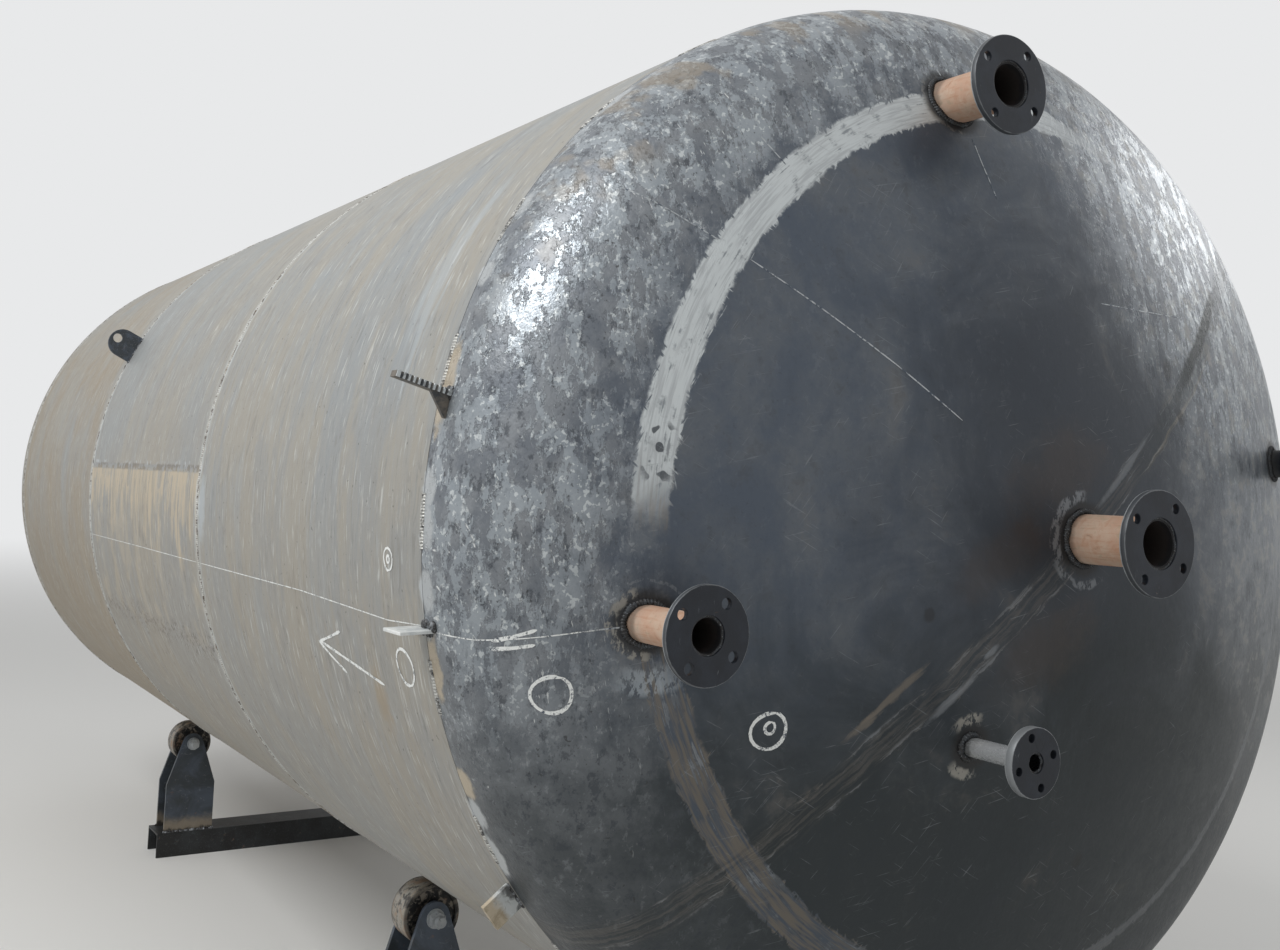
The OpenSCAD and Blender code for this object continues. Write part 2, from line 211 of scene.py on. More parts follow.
class TankStage(bpy.types.PropertyGroup):
    """Camera and lamps."""

    camera_place: FloatVectorProperty(
        name="Camera place", description="Where the camera stands", default=(4.40487, -2.01574, 1.53858),
        subtype="TRANSLATION", unit="LENGTH", size=3)
    camera_yaw: FloatProperty(
        name="Camera yaw", description="Turn of the view away from the tank axis", default=0.54129, subtype="ANGLE")
    camera_pitch: FloatProperty(
        name="Camera pitch", description="Upward tilt of the view", default=0.11088, subtype="ANGLE")
    camera_roll: FloatProperty(
        name="Camera roll", description="Roll of the view", default=0.03136, subtype="ANGLE")
    lens: FloatProperty(
        name="Lens", description="Focal length in millimetres for a 36 mm wide sensor", default=38.2475,
        min=10.0, max=200.0)
    key_power: FloatProperty(
        name="Key power", description="Power of the main lamp in watts", default=330.0, min=0.0)
    rim_power: FloatProperty(
        name="Rim power", description="Power of the lamp behind the tank in watts", default=50.0, min=0.0)
    fill_level: FloatProperty(
        name="Fill level", description="Strength of the even light from all sides", default=0.52, min=0.0, max=2.0)
    segments: IntProperty(
        name="Floor segments", description="Number of sides of the round floor", default=96, min=12, max=256)


def colours():
    return bpy.context.scene.tank_colours


def sizes():
    return bpy.context.scene.tank_sizes


def rgba(colour):
    return (colour[0], colour[1], colour[2], 1.0)


def add_node(tree, kind, inputs=None, **settings):
    """Adds a node, with links or plain values on its inputs."""
    made = tree.nodes.new(kind)
    for key, value in settings.items():
        setattr(made, key, value)
    for key, value in (inputs or {}).items():
        if isinstance(value, Value):
            value = value.socket()
        if isinstance(value, bpy.types.NodeSocket):
            tree.links.new(value, made.inputs[key])
        else:
            made.inputs[key].default_value = value
    return made


class Value:
    """A number that changes over the surface: slope times its source, plus level.

    With a ramp the source first goes smoothly from 0 to 1 between the ramp's two ends.
    Nodes are made only when the number is used, so that a finish has few of them.
    """

    def __init__(self, finish, source, slope=1.0, level=0.0, ramp=None):
        self.finish, self.source, self.slope, self.level, self.ramp = finish, source, slope, level, ramp
        self.made = None

    def socket(self):
        if self.made is None:
            if self.ramp:
                ends = {0: self.source, 1: self.ramp[0], 2: self.ramp[1], 3: self.level, 4: self.level + self.slope}
                self.made = self.finish.node("ShaderNodeMapRange", ends, interpolation_type="SMOOTHSTEP").outputs[0]
            elif self.slope == 1.0 and self.level == 0.0:
                self.made = self.source
            else:
                self.made = self.finish.math("MULTIPLY_ADD", self.source, self.slope, self.level).source
        return self.made

    def __add__(self, other):
        if not isinstance(other, Value):
            return Value(self.finish, self.source, self.slope, self.level + other, self.ramp)
        base = Value(self.finish, self.source, self.slope, 0.0, self.ramp).socket()
        if other.ramp:
            added = self.finish.math("ADD", base, Value(self.finish, other.source, other.slope, 0.0, other.ramp))
        elif other.slope == 1.0:
            added = self.finish.math("ADD", base, other.source)
        else:
            added = self.finish.math("MULTIPLY_ADD", other.source, other.slope, base)
        return added + (self.level + other.level)

    def __mul__(self, other):
        if isinstance(other, Value):
            return self.finish.math("MULTIPLY", self, other)
        return Value(self.finish, self.source, self.slope * other, self.level * other, self.ramp)

    def __neg__(self):
        return self * -1.0

    def __sub__(self, other):
        return self + -other

    def __radd__(self, number):
        return self + number

    def __truediv__(self, other):
        return self.finish.math("DIVIDE", self, other)

    def __abs__(self):
        return self.finish.math("ABSOLUTE", self)

    def rises(self, low, high):
        """0 below low, 1 above high, smooth between; low may be above high."""
        if self.ramp:
            return Value(self.finish, self.socket(), ramp=(low, high))
        return Value(
            self.finish, self.source, ramp=((low - self.level) / self.slope, (high - self.level) / self.slope)
        )

    def spread(self, low, high):
        """A 0 to 1 value laid out from low to high."""
        return self * (high - low) + low


class Finish:
    """One node material, put together from plain steps on the piece's own coordinates."""

    def __init__(self, name, metallic, specular=0.5):
        self.material = bpy.data.materials.new(name)
        self.material.use_nodes = True
        self.tree = self.material.node_tree
        self.shader = self.tree.nodes["Principled BSDF"]
        self.shader.inputs["Metallic"].default_value = metallic
        self.shader.inputs["Specular IOR Level"].default_value = specular
        self.colour = None
        self.place = self.node("ShaderNodeTexCoord").outputs["Object"]
        self.centred = self.moved((0.0, 0.0, AXIS_Z))
        self.x, self.y, self.z = self.split(self.centred)

    def node(self, kind, inputs=None, **settings):
        return add_node(self.tree, kind, inputs, **settings)

    def moved(self, centre, size=(1.0, 1.0, 1.0), turn=0.0, about="x"):
        """Coordinates whose zero is at centre, whose unit is size, and which are turned about x or z."""
        turns = (turn, 0.0, 0.0) if about == "x" else (0.0, 0.0, turn)
        return self.node(
            "ShaderNodeMapping", {0: self.place, 1: centre, 2: turns, 3: size}, vector_type="TEXTURE"
        ).outputs[0]

    def split(self, vector):
        return [Value(self, part) for part in self.node("ShaderNodeSeparateXYZ", {0: vector}).outputs]

    def joined(self, x, y, z):
        return self.node("ShaderNodeCombineXYZ", {0: x, 1: y, 2: z}).outputs[0]

    def length(self, vector):
        return Value(self, self.node("ShaderNodeVectorMath", {0: vector}, operation="LENGTH").outputs["Value"])

    def spot(self, y, z, wide, high, turn=0.0):
        """Distance from a place on the head, counted in the spot's own half widths."""
        return self.length(self.moved((0.0, y, AXIS_Z + z), (SPOT_REACH, wide, high), turn))

    def shell_spot(self, deg, x, size):
        """Distance from a place on the shell, counted in the spot's own half widths."""
        return self.length(self.moved(tuple(round_axis(deg, SHELL_R, x)), size))

    def math(self, how, a, b=0.0, c=0.0):
        return Value(self, self.node("ShaderNodeMath", {0: a, 1: b, 2: c}, operation=how).outputs[0])

    def noise(self, vector, scale, detail=3.0, roughness=0.55, distortion=0.0):
        """Noise at a scale, or at a scale for each direction."""
        if isinstance(scale, tuple):
            vector = self.node("ShaderNodeVectorMath", {0: vector, 1: scale}, operation="MULTIPLY").outputs[0]
            scale = 1.0
        return Value(self, self.node(
            "ShaderNodeTexNoise",
            {"Vector": vector, "Scale": scale, "Detail": detail, "Roughness": roughness, "Distortion": distortion},
        ).outputs[0])

    def mixed(self, share, first, second):
        """first where share is 0, second where it is 1."""
        tones = [tone if isinstance(tone, bpy.types.NodeSocket) else rgba(tone) for tone in (first, second)]
        return self.node("ShaderNodeMix", {0: share, 6: tones[0], 7: tones[1]}, data_type="RGBA").outputs[2]

    def coat(self, share, tone):
        """Lays one more colour over the finish."""
        self.colour = self.mixed(share, self.colour, tone)

    def any_of(self, values):
        out = values[0]
        for value in values[1:]:
            out = self.math("MAXIMUM", out, value)
        return out

    def close(self, roughness, height, depth):
        """Ends the material: its roughness, and a bump of that depth in metres."""
        bump = self.node("ShaderNodeBump", {"Height": height, "Distance": depth, "Strength": 1.0})
        self.tree.links.new(self.colour, self.shader.inputs["Base Color"])
        self.tree.links.new(roughness.socket(), self.shader.inputs["Roughness"])
        self.tree.links.new(bump.outputs[0], self.shader.inputs["Normal"])
        return self.material


def round_axis(deg, radius, x):
    """A point at an angle round the tank axis, seen from the front with 0 at the right."""
    turn = math.radians(deg)
    return Vector((x, radius * math.cos(turn), AXIS_Z + radius * math.sin(turn)))


def seam_patches(finish, patches, wobble):
    """Where the disc or the heat has touched the plate beside the front seam."""
    masks = []
    for deg, half in patches:
        masks.append((finish.shell_spot(deg, HEAD_X + 0.017, (0.026, half, half)) + wobble).rises(1.25, 0.75))
    return finish.any_of(masks)


def shell_finish(name, blue, tan, field=0.0):
    """Rolled plate: soft streaks run round the tank; it goes tan low down, partly rust and partly painted shade, and
    rust grows towards the rear.
    """
    c = colours()
    f = Finish(name, metallic=0.25, specular=0.4)
    broad = f.noise(f.centred, (2.2, 0.8, 0.8), 4.0, 0.6, 0.8)
    wide = f.noise(f.centred, (4.6, 1.1, 1.1), 5.0, 0.62, 1.2)
    streak = f.noise(f.centred, (17.0, 2.4, 2.4), 5.0, 0.66, 0.9)
    fine = f.noise(f.centred, (130.0, 15.0, 15.0), 2.0, 0.62)
    cloud = f.noise(f.centred, 3.1, 5.0, 0.64, 0.8)
    grain = f.noise(f.centred, 260.0, 1.0, 0.6)
    mottle = f.noise(f.centred, 34.0, 3.0, 0.65)
    smudge = f.noise(f.centred, (30.0, 8.0, 8.0), 5.0, 0.66, 1.4)
    f.colour = f.mixed((broad * 0.6 + streak * 0.4).rises(0.43, 0.57), c.plate_grey, c.plate_beige)
    f.coat((wide * 0.7 + smudge * 0.3).rises(0.47, 0.58) * blue, c.plate_blue)
    # low down the plate is painted a darker tan: painted shade, mixed into the rust
    low = (f.z + (cloud - 0.5) * 0.6).rises(0.3, -0.8)
    rusting = (cloud * 0.5 + wide * 0.5 + low * 0.16).rises(0.36, 0.66)
    f.coat(rusting * tan, c.plate_tan)
    f.coat(low * 0.14, c.plate_tan)
    # smudges, and the thin dark and pale marks that rolling and handling leave
    f.coat(smudge.rises(0.55, 0.68) * 0.3, c.ground_brown)
    f.coat(smudge.rises(0.43, 0.3) * 0.34, c.ground_steel)
    f.coat(fine.rises(0.6, 0.74) * 0.26, c.fitting_dark)
    f.coat(fine.rises(0.4, 0.28) * 0.34, c.chalk)
    gashes = f.noise(f.moved((0.0, 0.0, AXIS_Z), turn=0.25, about="z"), (46.0, 10.0, 10.0), 4.0, 0.7, 0.8)
    f.coat(gashes.rises(0.7, 0.75) * 0.7, c.weld_dark)
    specks = f.noise(f.centred, 90.0, 1.0, 0.6).rises(0.72, 0.8)
    f.coat(specks * 0.5, c.weld_dark)
    height = mottle * 0.5 + fine * 0.25 + grain * 0.25
    if field:
        # the tan field under the long seam of the middle course, with grey runs in it
        left = f.y.rises(-0.3, -0.34)
        top = SHELL_R * math.sin(math.radians(176.2))
        bottom = -SHELL_R * math.sin(math.radians(22.0))
        edge = (mottle - 0.5) * 0.03
        zed = f.z + edge
        inside = zed.rises(bottom - 0.02, bottom + 0.02) * zed.rises(top + 0.003, top - 0.003) * left
        reach = f.noise(f.joined(f.x * 30.0, f.z * 1.2, 0.0), 1.0, 5.0, 0.74, 0.3)
        runs = f.noise(f.centred, (26.0, 2.4, 2.4), 6.0, 0.74, 0.6)
        blotch = f.noise(f.centred, (9.0, 5.0, 5.0), 5.0, 0.68, 0.8)
        ends = f.z + (reach - 0.5) * 1.2 + (blotch - 0.5) * 0.5
        grey_runs = runs.rises(0.47, 0.54) * (blotch * 0.6 + reach * 0.4).rises(0.45, 0.51)
        share = ends.rises(-0.1, -0.04) * grey_runs.spread(1.0, 0.15)
        share = f.any_of([share, blotch.rises(0.5, 0.6) * 0.38])
        f.coat(inside * share * field, c.field_tan)
        gap = abs(f.z + edge * 0.3 - top)
        line = gap.rises(0.013, 0.006) * left
        f.coat(line * 0.75, f.mixed(mottle.rises(0.44, 0.56), c.ground_brown, c.plate_grey))
        above = abs(f.z + edge - (top + 0.014))
        f.coat(above.rises(0.007, 0.002) * left * streak.rises(0.56, 0.64), c.ground_steel)
        foot = abs(f.z + (blotch - 0.5) * 0.16 - bottom)
        pitted = f.noise(f.centred, 60.0, 4.0, 0.75, 0.5).rises(0.52, 0.6)
        f.coat(foot.rises(0.06, 0.0) * left * pitted * 0.6, c.scorch)
    halo = f.shell_spot(181.5, SEAM_MIDDLE + 0.045, (0.036, 0.12, 0.1))
    f.coat((halo + (mottle - 0.5) * 0.8).rises(1.15, 0.5) * 0.55, c.wiped_blue)
    beside = [abs(f.x - place) for place in (SEAM_MIDDLE, SEAM_REAR, SEAM_REAR_HEAD)]
    near = f.math("MINIMUM", f.math("MINIMUM", beside[0], beside[1]), beside[2]) + (mottle - 0.5) * 0.03
    brushed = near.rises(0.034, 0.008) * smudge.rises(0.4, 0.54)
    f.coat(brushed * 0.7, c.ring_white)
    burnt = near.rises(0.015, 0.009) * mottle.rises(0.5, 0.6)
    f.coat(burnt * 0.75, c.weld_dark)
    wobble = (mottle - 0.5) * 1.5
    f.coat(seam_patches(f, GROUND_PATCHES, wobble), c.ground_steel)
    # a tan run beside the left tab, and pale wiping above it
    run = f.shell_spot(198.5, SEAM_FRONT - 0.275, (0.034, 0.1, 0.075))
    f.coat((run + (mottle - 0.5) * 1.6).rises(1.25, 0.35) * 0.75, c.plate_tan)
    wiped = f.shell_spot(154.0, SEAM_FRONT - 0.19, (0.06, 0.26, 0.2))
    f.coat((wiped + (streak - 0.5) * 3.6).rises(1.1, 0.5) * 0.32, c.wiped_blue)
    roughness = (streak * 0.5 + mottle * 0.5).spread(0.4, 0.74)
    return f.close(roughness, height, 0.0011)


def nozzle_middle(nozzle):
    """Where a nozzle's axis runs, and the outside radius of its pipe."""
    low_corner, high_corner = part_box("pipe_" + nozzle)
    return (low_corner + high_corner) / 2, (high_corner.y - low_corner.y) / 2


def nozzle_rings(f, mottle):
    """Soot, pale wire brushing and brown heat rings on the head at each nozzle."""
    c = colours()
    around = {}
    scribble = f.noise(f.centred, (1.0, 90.0, 44.0), 3.0, 0.74).rises(0.44, 0.54)
    for nozzle in NOZZLES:
        middle, pipe_r = nozzle_middle(nozzle)
        local = f.moved((0.0, middle.y, middle.z), (THROUGH, 1.0, 1.0))
        length = f.length(local)
        away = length + (mottle - 0.5) * 0.02
        around[nozzle] = (f.split(local), length, away)
        f.coat(away.rises(pipe_r + 0.032, pipe_r + 0.012) * 0.88, c.weld_dark)
    for nozzle, reach, half, toward_y, toward_z, width, tone, amount in NOZZLE_HALOS:
        (_, local_y, local_z), length, away = around[nozzle]
        facing = ((local_y * toward_y + local_z * toward_z) / length).rises(width, width + 0.25)
        ring = abs(away - reach).rises(half, half * 0.45)
        f.coat(ring * facing * scribble * amount, getattr(c, tone))


def head_finish(name):
    """Mill scale of the front head, with the ground ring, the ground seam and the marks of handling."""
    c, s = colours(), sizes()
    f = Finish(name, metallic=0.45)
    radius = f.length(f.joined(0.0, f.y, f.z))
    mottle = f.noise(f.centred, 26.0, 4.0, 0.66)
    cloud = f.noise(f.centred, 3.4, 5.0, 0.62, 1.0)
    patchy = f.noise(f.centred, 13.0, 5.0, 0.72)
    crust = f.noise(f.centred, 120.0, 2.0, 0.66)
    flakes = f.noise(f.centred, (34.0, 46.0, 30.0), 4.0, 0.78)
    # the scale itself: greyer to the left; darker in the middle and almost black low down, both painted shade
    f.colour = f.mixed((cloud * 0.55 + patchy * 0.45).rises(0.4, 0.62), c.scale_blue, c.scale_grey)
    painted_shade_middle = (f.spot(0.04, 0.08, 0.58, 0.72) + (cloud - 0.5) * 0.9).rises(1.12, 0.42)
    f.coat(painted_shade_middle * 0.88, c.scale_dark)
    low = (f.z + f.y * -0.12 + (cloud - 0.5) * 0.5).rises(0.04, -0.42)
    f.coat(low * 0.88, c.scale_low)
    f.coat(mottle.rises(0.54, 0.7) * 0.28, c.scale_dark)
    warm = (cloud * 0.7 + patchy * 0.3).rises(0.56, 0.66)
    f.coat(warm * 0.22, c.ground_brown)
    # outside the ring the scale is rubbed and cut by short strokes that cross each other; towards the upper left it
    # is painted paler, a painted highlight over the rubbed scale
    side = (f.y * -0.7 + f.z * 0.75).rises(-0.1, 0.85)
    outer = (radius + (patchy - 0.5) * 0.22).rises(0.8, 0.97)
    f.coat(outer * side.spread(0.08, 0.8) * patchy.rises(0.4, 0.6).spread(0.55, 1.0), c.scale_pale)
    # to the upper right the scale is painted paler, with beige and dark flecks: partly paler scale, partly a painted
    # sheen
    upper_right_pale_and_sheen = (f.y * 0.82 + f.z * 0.35 + (cloud - 0.5) * 0.35).rises(0.22, 0.52) * f.z.rises(-0.75, -0.1)
    f.coat(upper_right_pale_and_sheen * patchy.rises(0.4, 0.58).spread(0.34, 0.66), c.scale_pale)
    f.coat(upper_right_pale_and_sheen * mottle.rises(0.52, 0.62) * 0.4, c.plate_beige)
    f.coat(upper_right_pale_and_sheen * mottle.rises(0.44, 0.34) * 0.45, c.scale_dark)
    strokes = []
    for lean, long, wide in ((0.75, 0.050, 0.0075), (-0.55, 0.042, 0.0060), (0.15, 0.060, 0.0090)):
        local = f.moved((0.0, 0.0, AXIS_Z), (0.06, wide, long), lean)
        strokes.append(f.noise(local, 1.0, 1.0, 0.6).rises(0.62, 0.7))
    cut = f.any_of(strokes) * (patchy * 0.6 + cloud * 0.4).rises(0.44, 0.56)
    f.coat(cut * outer.spread(0.2, 1.0) * 0.16, c.scale_dark)
    rough = outer.spread(0.16, 1.0)
    f.coat(flakes.rises(0.47, 0.36) * rough * 0.62, c.scale_dark)
    # pale flakes, brighter towards the upper left: partly flaked scale, partly a painted highlight
    f.coat(flakes.rises(0.57, 0.66) * rough * side.spread(0.12, 0.7), c.scale_pale)
    # thick scale that has sprung off in sheets; where the light falls its edges are painted paler and bright specks
    # along them are painted glints, partly sprung scale and partly painted highlight
    sheets = f.noise(f.centred, (17.0, 26.0, 12.0), 6.0, 0.8)
    lit = f.any_of([outer * side.rises(0.42, 1.0), upper_right_pale_and_sheen * f.z.rises(-0.1, 0.45) * 0.8])
    sprung = sheets.rises(0.485, 0.515)
    f.coat(sprung * lit * 0.4, c.wiped_blue)
    crumb = f.noise(f.centred, 85.0, 2.0, 0.62)
    painted_glints = crumb.rises(0.58, 0.62) * sheets.rises(0.46, 0.55)
    f.coat(painted_glints * lit * 0.9, c.ring_white)
    # thin short streaks in chalk white where the knuckle is lit: painted glints
    thin = f.noise(f.moved((0.0, 0.0, AXIS_Z), (0.05, 0.0035, 0.024), 0.25), 1.0, 2.0, 0.6)
    f.coat(thin.rises(0.68, 0.73) * outer * side * cloud.rises(0.44, 0.56) * 0.85, c.chalk)
    specks = crumb.rises(0.33, 0.27) * outer.spread(0.25, 0.9)
    f.coat(specks * 0.7, c.weld_dark)
    # light rust runs round the knuckle, most at the top
    rim = radius.rises(0.97, 1.06) * f.z.rises(0.25, 0.85)
    streaks = f.noise(f.centred, (5.0, 14.0, 9.0), 3.0, 0.64)
    f.coat(rim * streaks.rises(0.5, 0.62) * 0.55, c.plate_tan)
    # the ground ring: broad and pale at the upper left, brown below, narrow and grey at the right
    right = f.y.rises(0.02, 0.3)
    sideways = radius + (mottle - 0.5) * 0.026 + f.any_of(strokes) * 0.005
    middle_r = s.ring_radius + right * -0.014
    across = abs(sideways - middle_r)
    half_w = s.ring_width / 2 + right * -0.019
    band = (across - half_w).rises(0.003, -0.004)
    lines = f.noise(f.joined(radius * 190.0, f.y * 12.0, f.z * 12.0), 1.0, 2.0, 0.6)
    upper = (f.y * -0.4 + f.z * 0.92) / radius
    fresh = (upper + (cloud - 0.5) * 0.3).rises(0.34, 0.56)
    bare = f.mixed(lines.rises(0.34, 0.56), c.ground_steel, c.ring_white)
    bare = f.mixed(lines.rises(0.6, 0.74) * 0.35, bare, c.scale_pale)
    stale = f.mixed(lines.rises(0.38, 0.62), c.ground_brown, c.scale_blue)
    stale = f.mixed((lines * 0.5 + patchy * 0.5).rises(0.54, 0.62), stale, c.scale_pale)
    bare = f.mixed(fresh, stale, bare)
    bare = f.mixed(right * 0.85, bare, c.scale_pale)
    worn_off = (lines * 0.4 + mottle * 0.6).rises(0.64, 0.54)
    share = worn_off.spread(0.35, 1.0) * fresh.spread(0.74, 1.0) * right.spread(1.0, 0.45)
    faded = (f.spot(-0.83, -0.055, 0.13, 0.08) + (patchy - 0.5) * 1.2).rises(0.65, 1.25)
    f.coat(band * share * faded, bare)
    pocks = f.noise(f.centred, (66.0, 66.0, 52.0), 0.0).rises(0.58, 0.64)
    where = (f.spot(-0.815, 0.13, 0.034, 0.055) + (mottle - 0.5) * 0.8).rises(1.15, 0.75)
    f.coat(pocks * where * 0.85, c.scale_dark)
    # the ground seam across the head: a dull strip with broken edges and streaks along it
    turn = s.seam_turn
    run = f.y * math.cos(turn) + f.z * math.sin(turn)
    off = f.y * -math.sin(turn) + f.z * math.cos(turn)
    sway = f.noise(f.joined(run * 3.0, 0.0, 0.0), 1.0, 2.0, 0.5)
    off = off + (sway - 0.5) * 0.036 + (mottle - 0.5) * 0.014
    half = s.seam_width / 2
    gap = abs(off)
    along = f.noise(f.joined(run * 8.0, off * 130.0, 0.0), 1.0, 3.0, 0.64)
    strip = gap.rises(half + 0.016, half - 0.012)
    strip_tone = f.mixed(along.rises(0.42, 0.6) * run.rises(0.3, 0.05), c.scale_low, c.ground_brown)
    strip_tone = f.mixed(along.rises(0.62, 0.74), strip_tone, c.scale_pale)
    f.coat(strip * run.rises(0.05, 0.4).spread(0.26, 0.46), strip_tone)
    edge = abs(gap - half).rises(0.008, 0.002)
    broken = (along * 0.5 + patchy * 0.5).rises(0.5, 0.6)
    edge_tone = f.mixed(f.any_of([along.rises(0.44, 0.62), run.rises(0.35, 0.5)]), c.ground_brown, c.scale_pale)
    f.coat(edge * broken * 0.5, edge_tone)
    tan_line = abs(off + half).rises(0.006, 0.002) * run.rises(0.2, 0.3) * run.rises(0.66, 0.58)
    f.coat(tan_line * along.rises(0.4, 0.58).spread(0.05, 0.25), c.ring_tan)
    core = abs(off - half * 0.7).rises(0.019, 0.01) * run.rises(0.4, 0.52) * run.rises(0.8, 0.74)
    f.coat(core * patchy.rises(0.36, 0.5).spread(0.35, 0.95), c.scale_low)
    for y, z, long, wide, tone, amount in (
        (-0.405, -0.262, 0.080, 0.009, c.ground_brown, 0.75), (-0.455, -0.310, 0.050, 0.008, c.ground_brown, 0.70),
        (-0.290, -0.272, 0.062, 0.009, c.scale_pale, 0.62), (-0.215, -0.195, 0.020, 0.007, c.scale_pale, 0.50),
        (0.120, 0.125, 0.110, 0.008, c.scale_pale, 0.40),
    ):
        smear = (f.spot(y, z, long, wide, turn) + (along * 0.5 + mottle * 0.5 - 0.5) * 2.4).rises(1.15, 0.55)
        f.coat(smear * amount, tone)
    # heat marks beside the centre
    for y, z, wide, high in (
        (-0.060, 0.120, 0.150, 0.085), (-0.190, -0.030, 0.130, 0.060), (-0.085, -0.190, 0.150, 0.080),
    ):
        hot = (f.spot(y, z, wide, high, 0.5) + (patchy - 0.5) * 1.8).rises(1.2, 0.3)
        f.coat(hot * 0.34, c.scorch)
    # thin scratches of handling, in three ways, and a few dark stains
    for lean, seed in ((1.05, 0.7), (-0.62, 3.1), (-1.35, 5.9)):
        hair = f.noise(f.moved((seed, seed, AXIS_Z + seed), (0.2, 0.0026, 0.075), lean), 1.0, 1.0, 0.5)
        hair = hair.rises(0.7, 0.75) * (cloud * 0.5 + patchy * 0.5).rises(0.48, 0.58)
        f.coat(hair * 0.4, c.scale_pale)
    for y, z, wide, high in (
        (-0.348, -0.130, 0.012, 0.014), (0.073, -0.593, 0.016, 0.018),
        (0.300, 0.330, 0.018, 0.024), (0.330, 0.235, 0.014, 0.018),
    ):
        stain = (f.spot(y, z, wide, high) + (mottle - 0.5) * 1.6).rises(1.2, 0.6)
        f.coat(stain * 0.55, c.weld_dark)
    # soot, pale wire brushing and brown heat rings at the nozzles
    nozzle_rings(f, mottle)
    # patches at the seam to the shell
    wobble = (mottle - 0.5) * 1.5
    f.coat(seam_patches(f, WORN_PATCHES, wobble) * 0.85, c.field_tan)
    f.coat(seam_patches(f, GROUND_PATCHES, wobble), c.ground_steel)
    roughness = (patchy * 0.35 + mottle * 0.35 + crust * 0.3).spread(0.22, 0.66) - sprung * lit * 0.12
    # the bump works its height out three times over, so it takes plain masks
    rim_zone = radius.rises(0.8, 0.97)
    right_zone = (f.y * 0.82 + f.z * 0.35).rises(0.22, 0.52) * f.z.rises(-0.75, -0.1)
    lit_zone = f.any_of([rim_zone * side.rises(0.42, 1.0), right_zone * f.z.rises(-0.1, 0.45) * 0.8])
    ring_zone = (abs(radius - middle_r) - half_w).rises(0.003, -0.004)
    coarse = (crust * 0.6 + flakes * 1.1) * f.any_of([rim_zone, right_zone * 0.7]).spread(0.12, 1.0)
    height = mottle * 0.4 + coarse + sprung * lit_zone * 0.9 + ring_zone * lines * 0.4
    return f.close(roughness, height, 0.0012)


def weld_finish(name, tone, dark, ripple=True):
    """A weld bead with its ripples, brushed on top, with dark patches, and its ripple troughs painted darker as
    painted shade.
    """
    c, s = colours(), sizes()
    f = Finish(name, metallic=0.35)
    mottle = f.noise(f.centred, 90.0, 4.0, 0.65, 0.5)
    broad = f.noise(f.centred, 9.0, 4.0, 0.6)
    patchy = f.noise(f.centred, 34.0, 4.0, 0.64)
    grain = f.noise(f.centred, 420.0, 2.0, 0.6)
    f.colour = f.mixed(mottle.rises(0.46, 0.64), tone, dark)
    f.coat(patchy.rises(0.56, 0.62) * 0.7, dark)
    if ripple:
        f.coat(broad.rises(0.54, 0.64) * 0.45, c.plate_tan)
    f.coat(grain.rises(0.58, 0.7) * 0.6, c.chalk if ripple else c.scale_pale)
    height = mottle * 0.5 + grain * 0.2
    if ripple:
        lobes = round(2 * math.pi * SHELL_R / s.ripple_pitch)
        turn = f.math("ARCTAN2", f.z, f.y)
        wave = f.math("SINE", turn * lobes + mottle * 3.0)
        height = height + wave * 0.45
        # the troughs between the ripples are painted darker: painted shade
        f.coat(wave.rises(-0.2, -0.9) * 0.4, dark)
    roughness = mottle.spread(0.34, 0.66)
    return f.close(roughness, height, 0.0012)


def painted_finish(name, tone, worn, bare, shine, metallic=0.0, streaked=False):
    """Thin paint or grease over steel, with scuffs and a little rust."""
    c = colours()
    f = Finish(name, metallic=metallic)
    mottle = f.noise(f.place, 42.0, 5.0, 0.65, 0.5)
    cloud = f.noise(f.place, 9.0, 4.0, 0.6)
    grain = f.noise(f.place, 330.0, 2.0, 0.6)
    brush = f.noise(f.place, (12.0, 160.0, 160.0) if streaked else (90.0, 90.0, 90.0), 4.0, 0.65)
    f.colour = f.mixed(cloud.rises(0.4, 0.66) * 0.35, tone, worn)
    f.coat((mottle * 0.6 + brush * 0.4).rises(0.54, 0.64) * bare, worn)
    f.coat(grain.rises(0.64, 0.74) * (0.35 * bare + 0.1), c.ground_steel)
    f.coat(mottle.rises(0.64, 0.74) * 0.4, c.rust)
    roughness = (mottle * 0.6 + grain * 0.4).spread(shine - 0.16, shine + 0.2)
    height = mottle * 0.4 + grain * 0.25 + brush * 0.35
    return f.close(roughness, height, 0.0006)


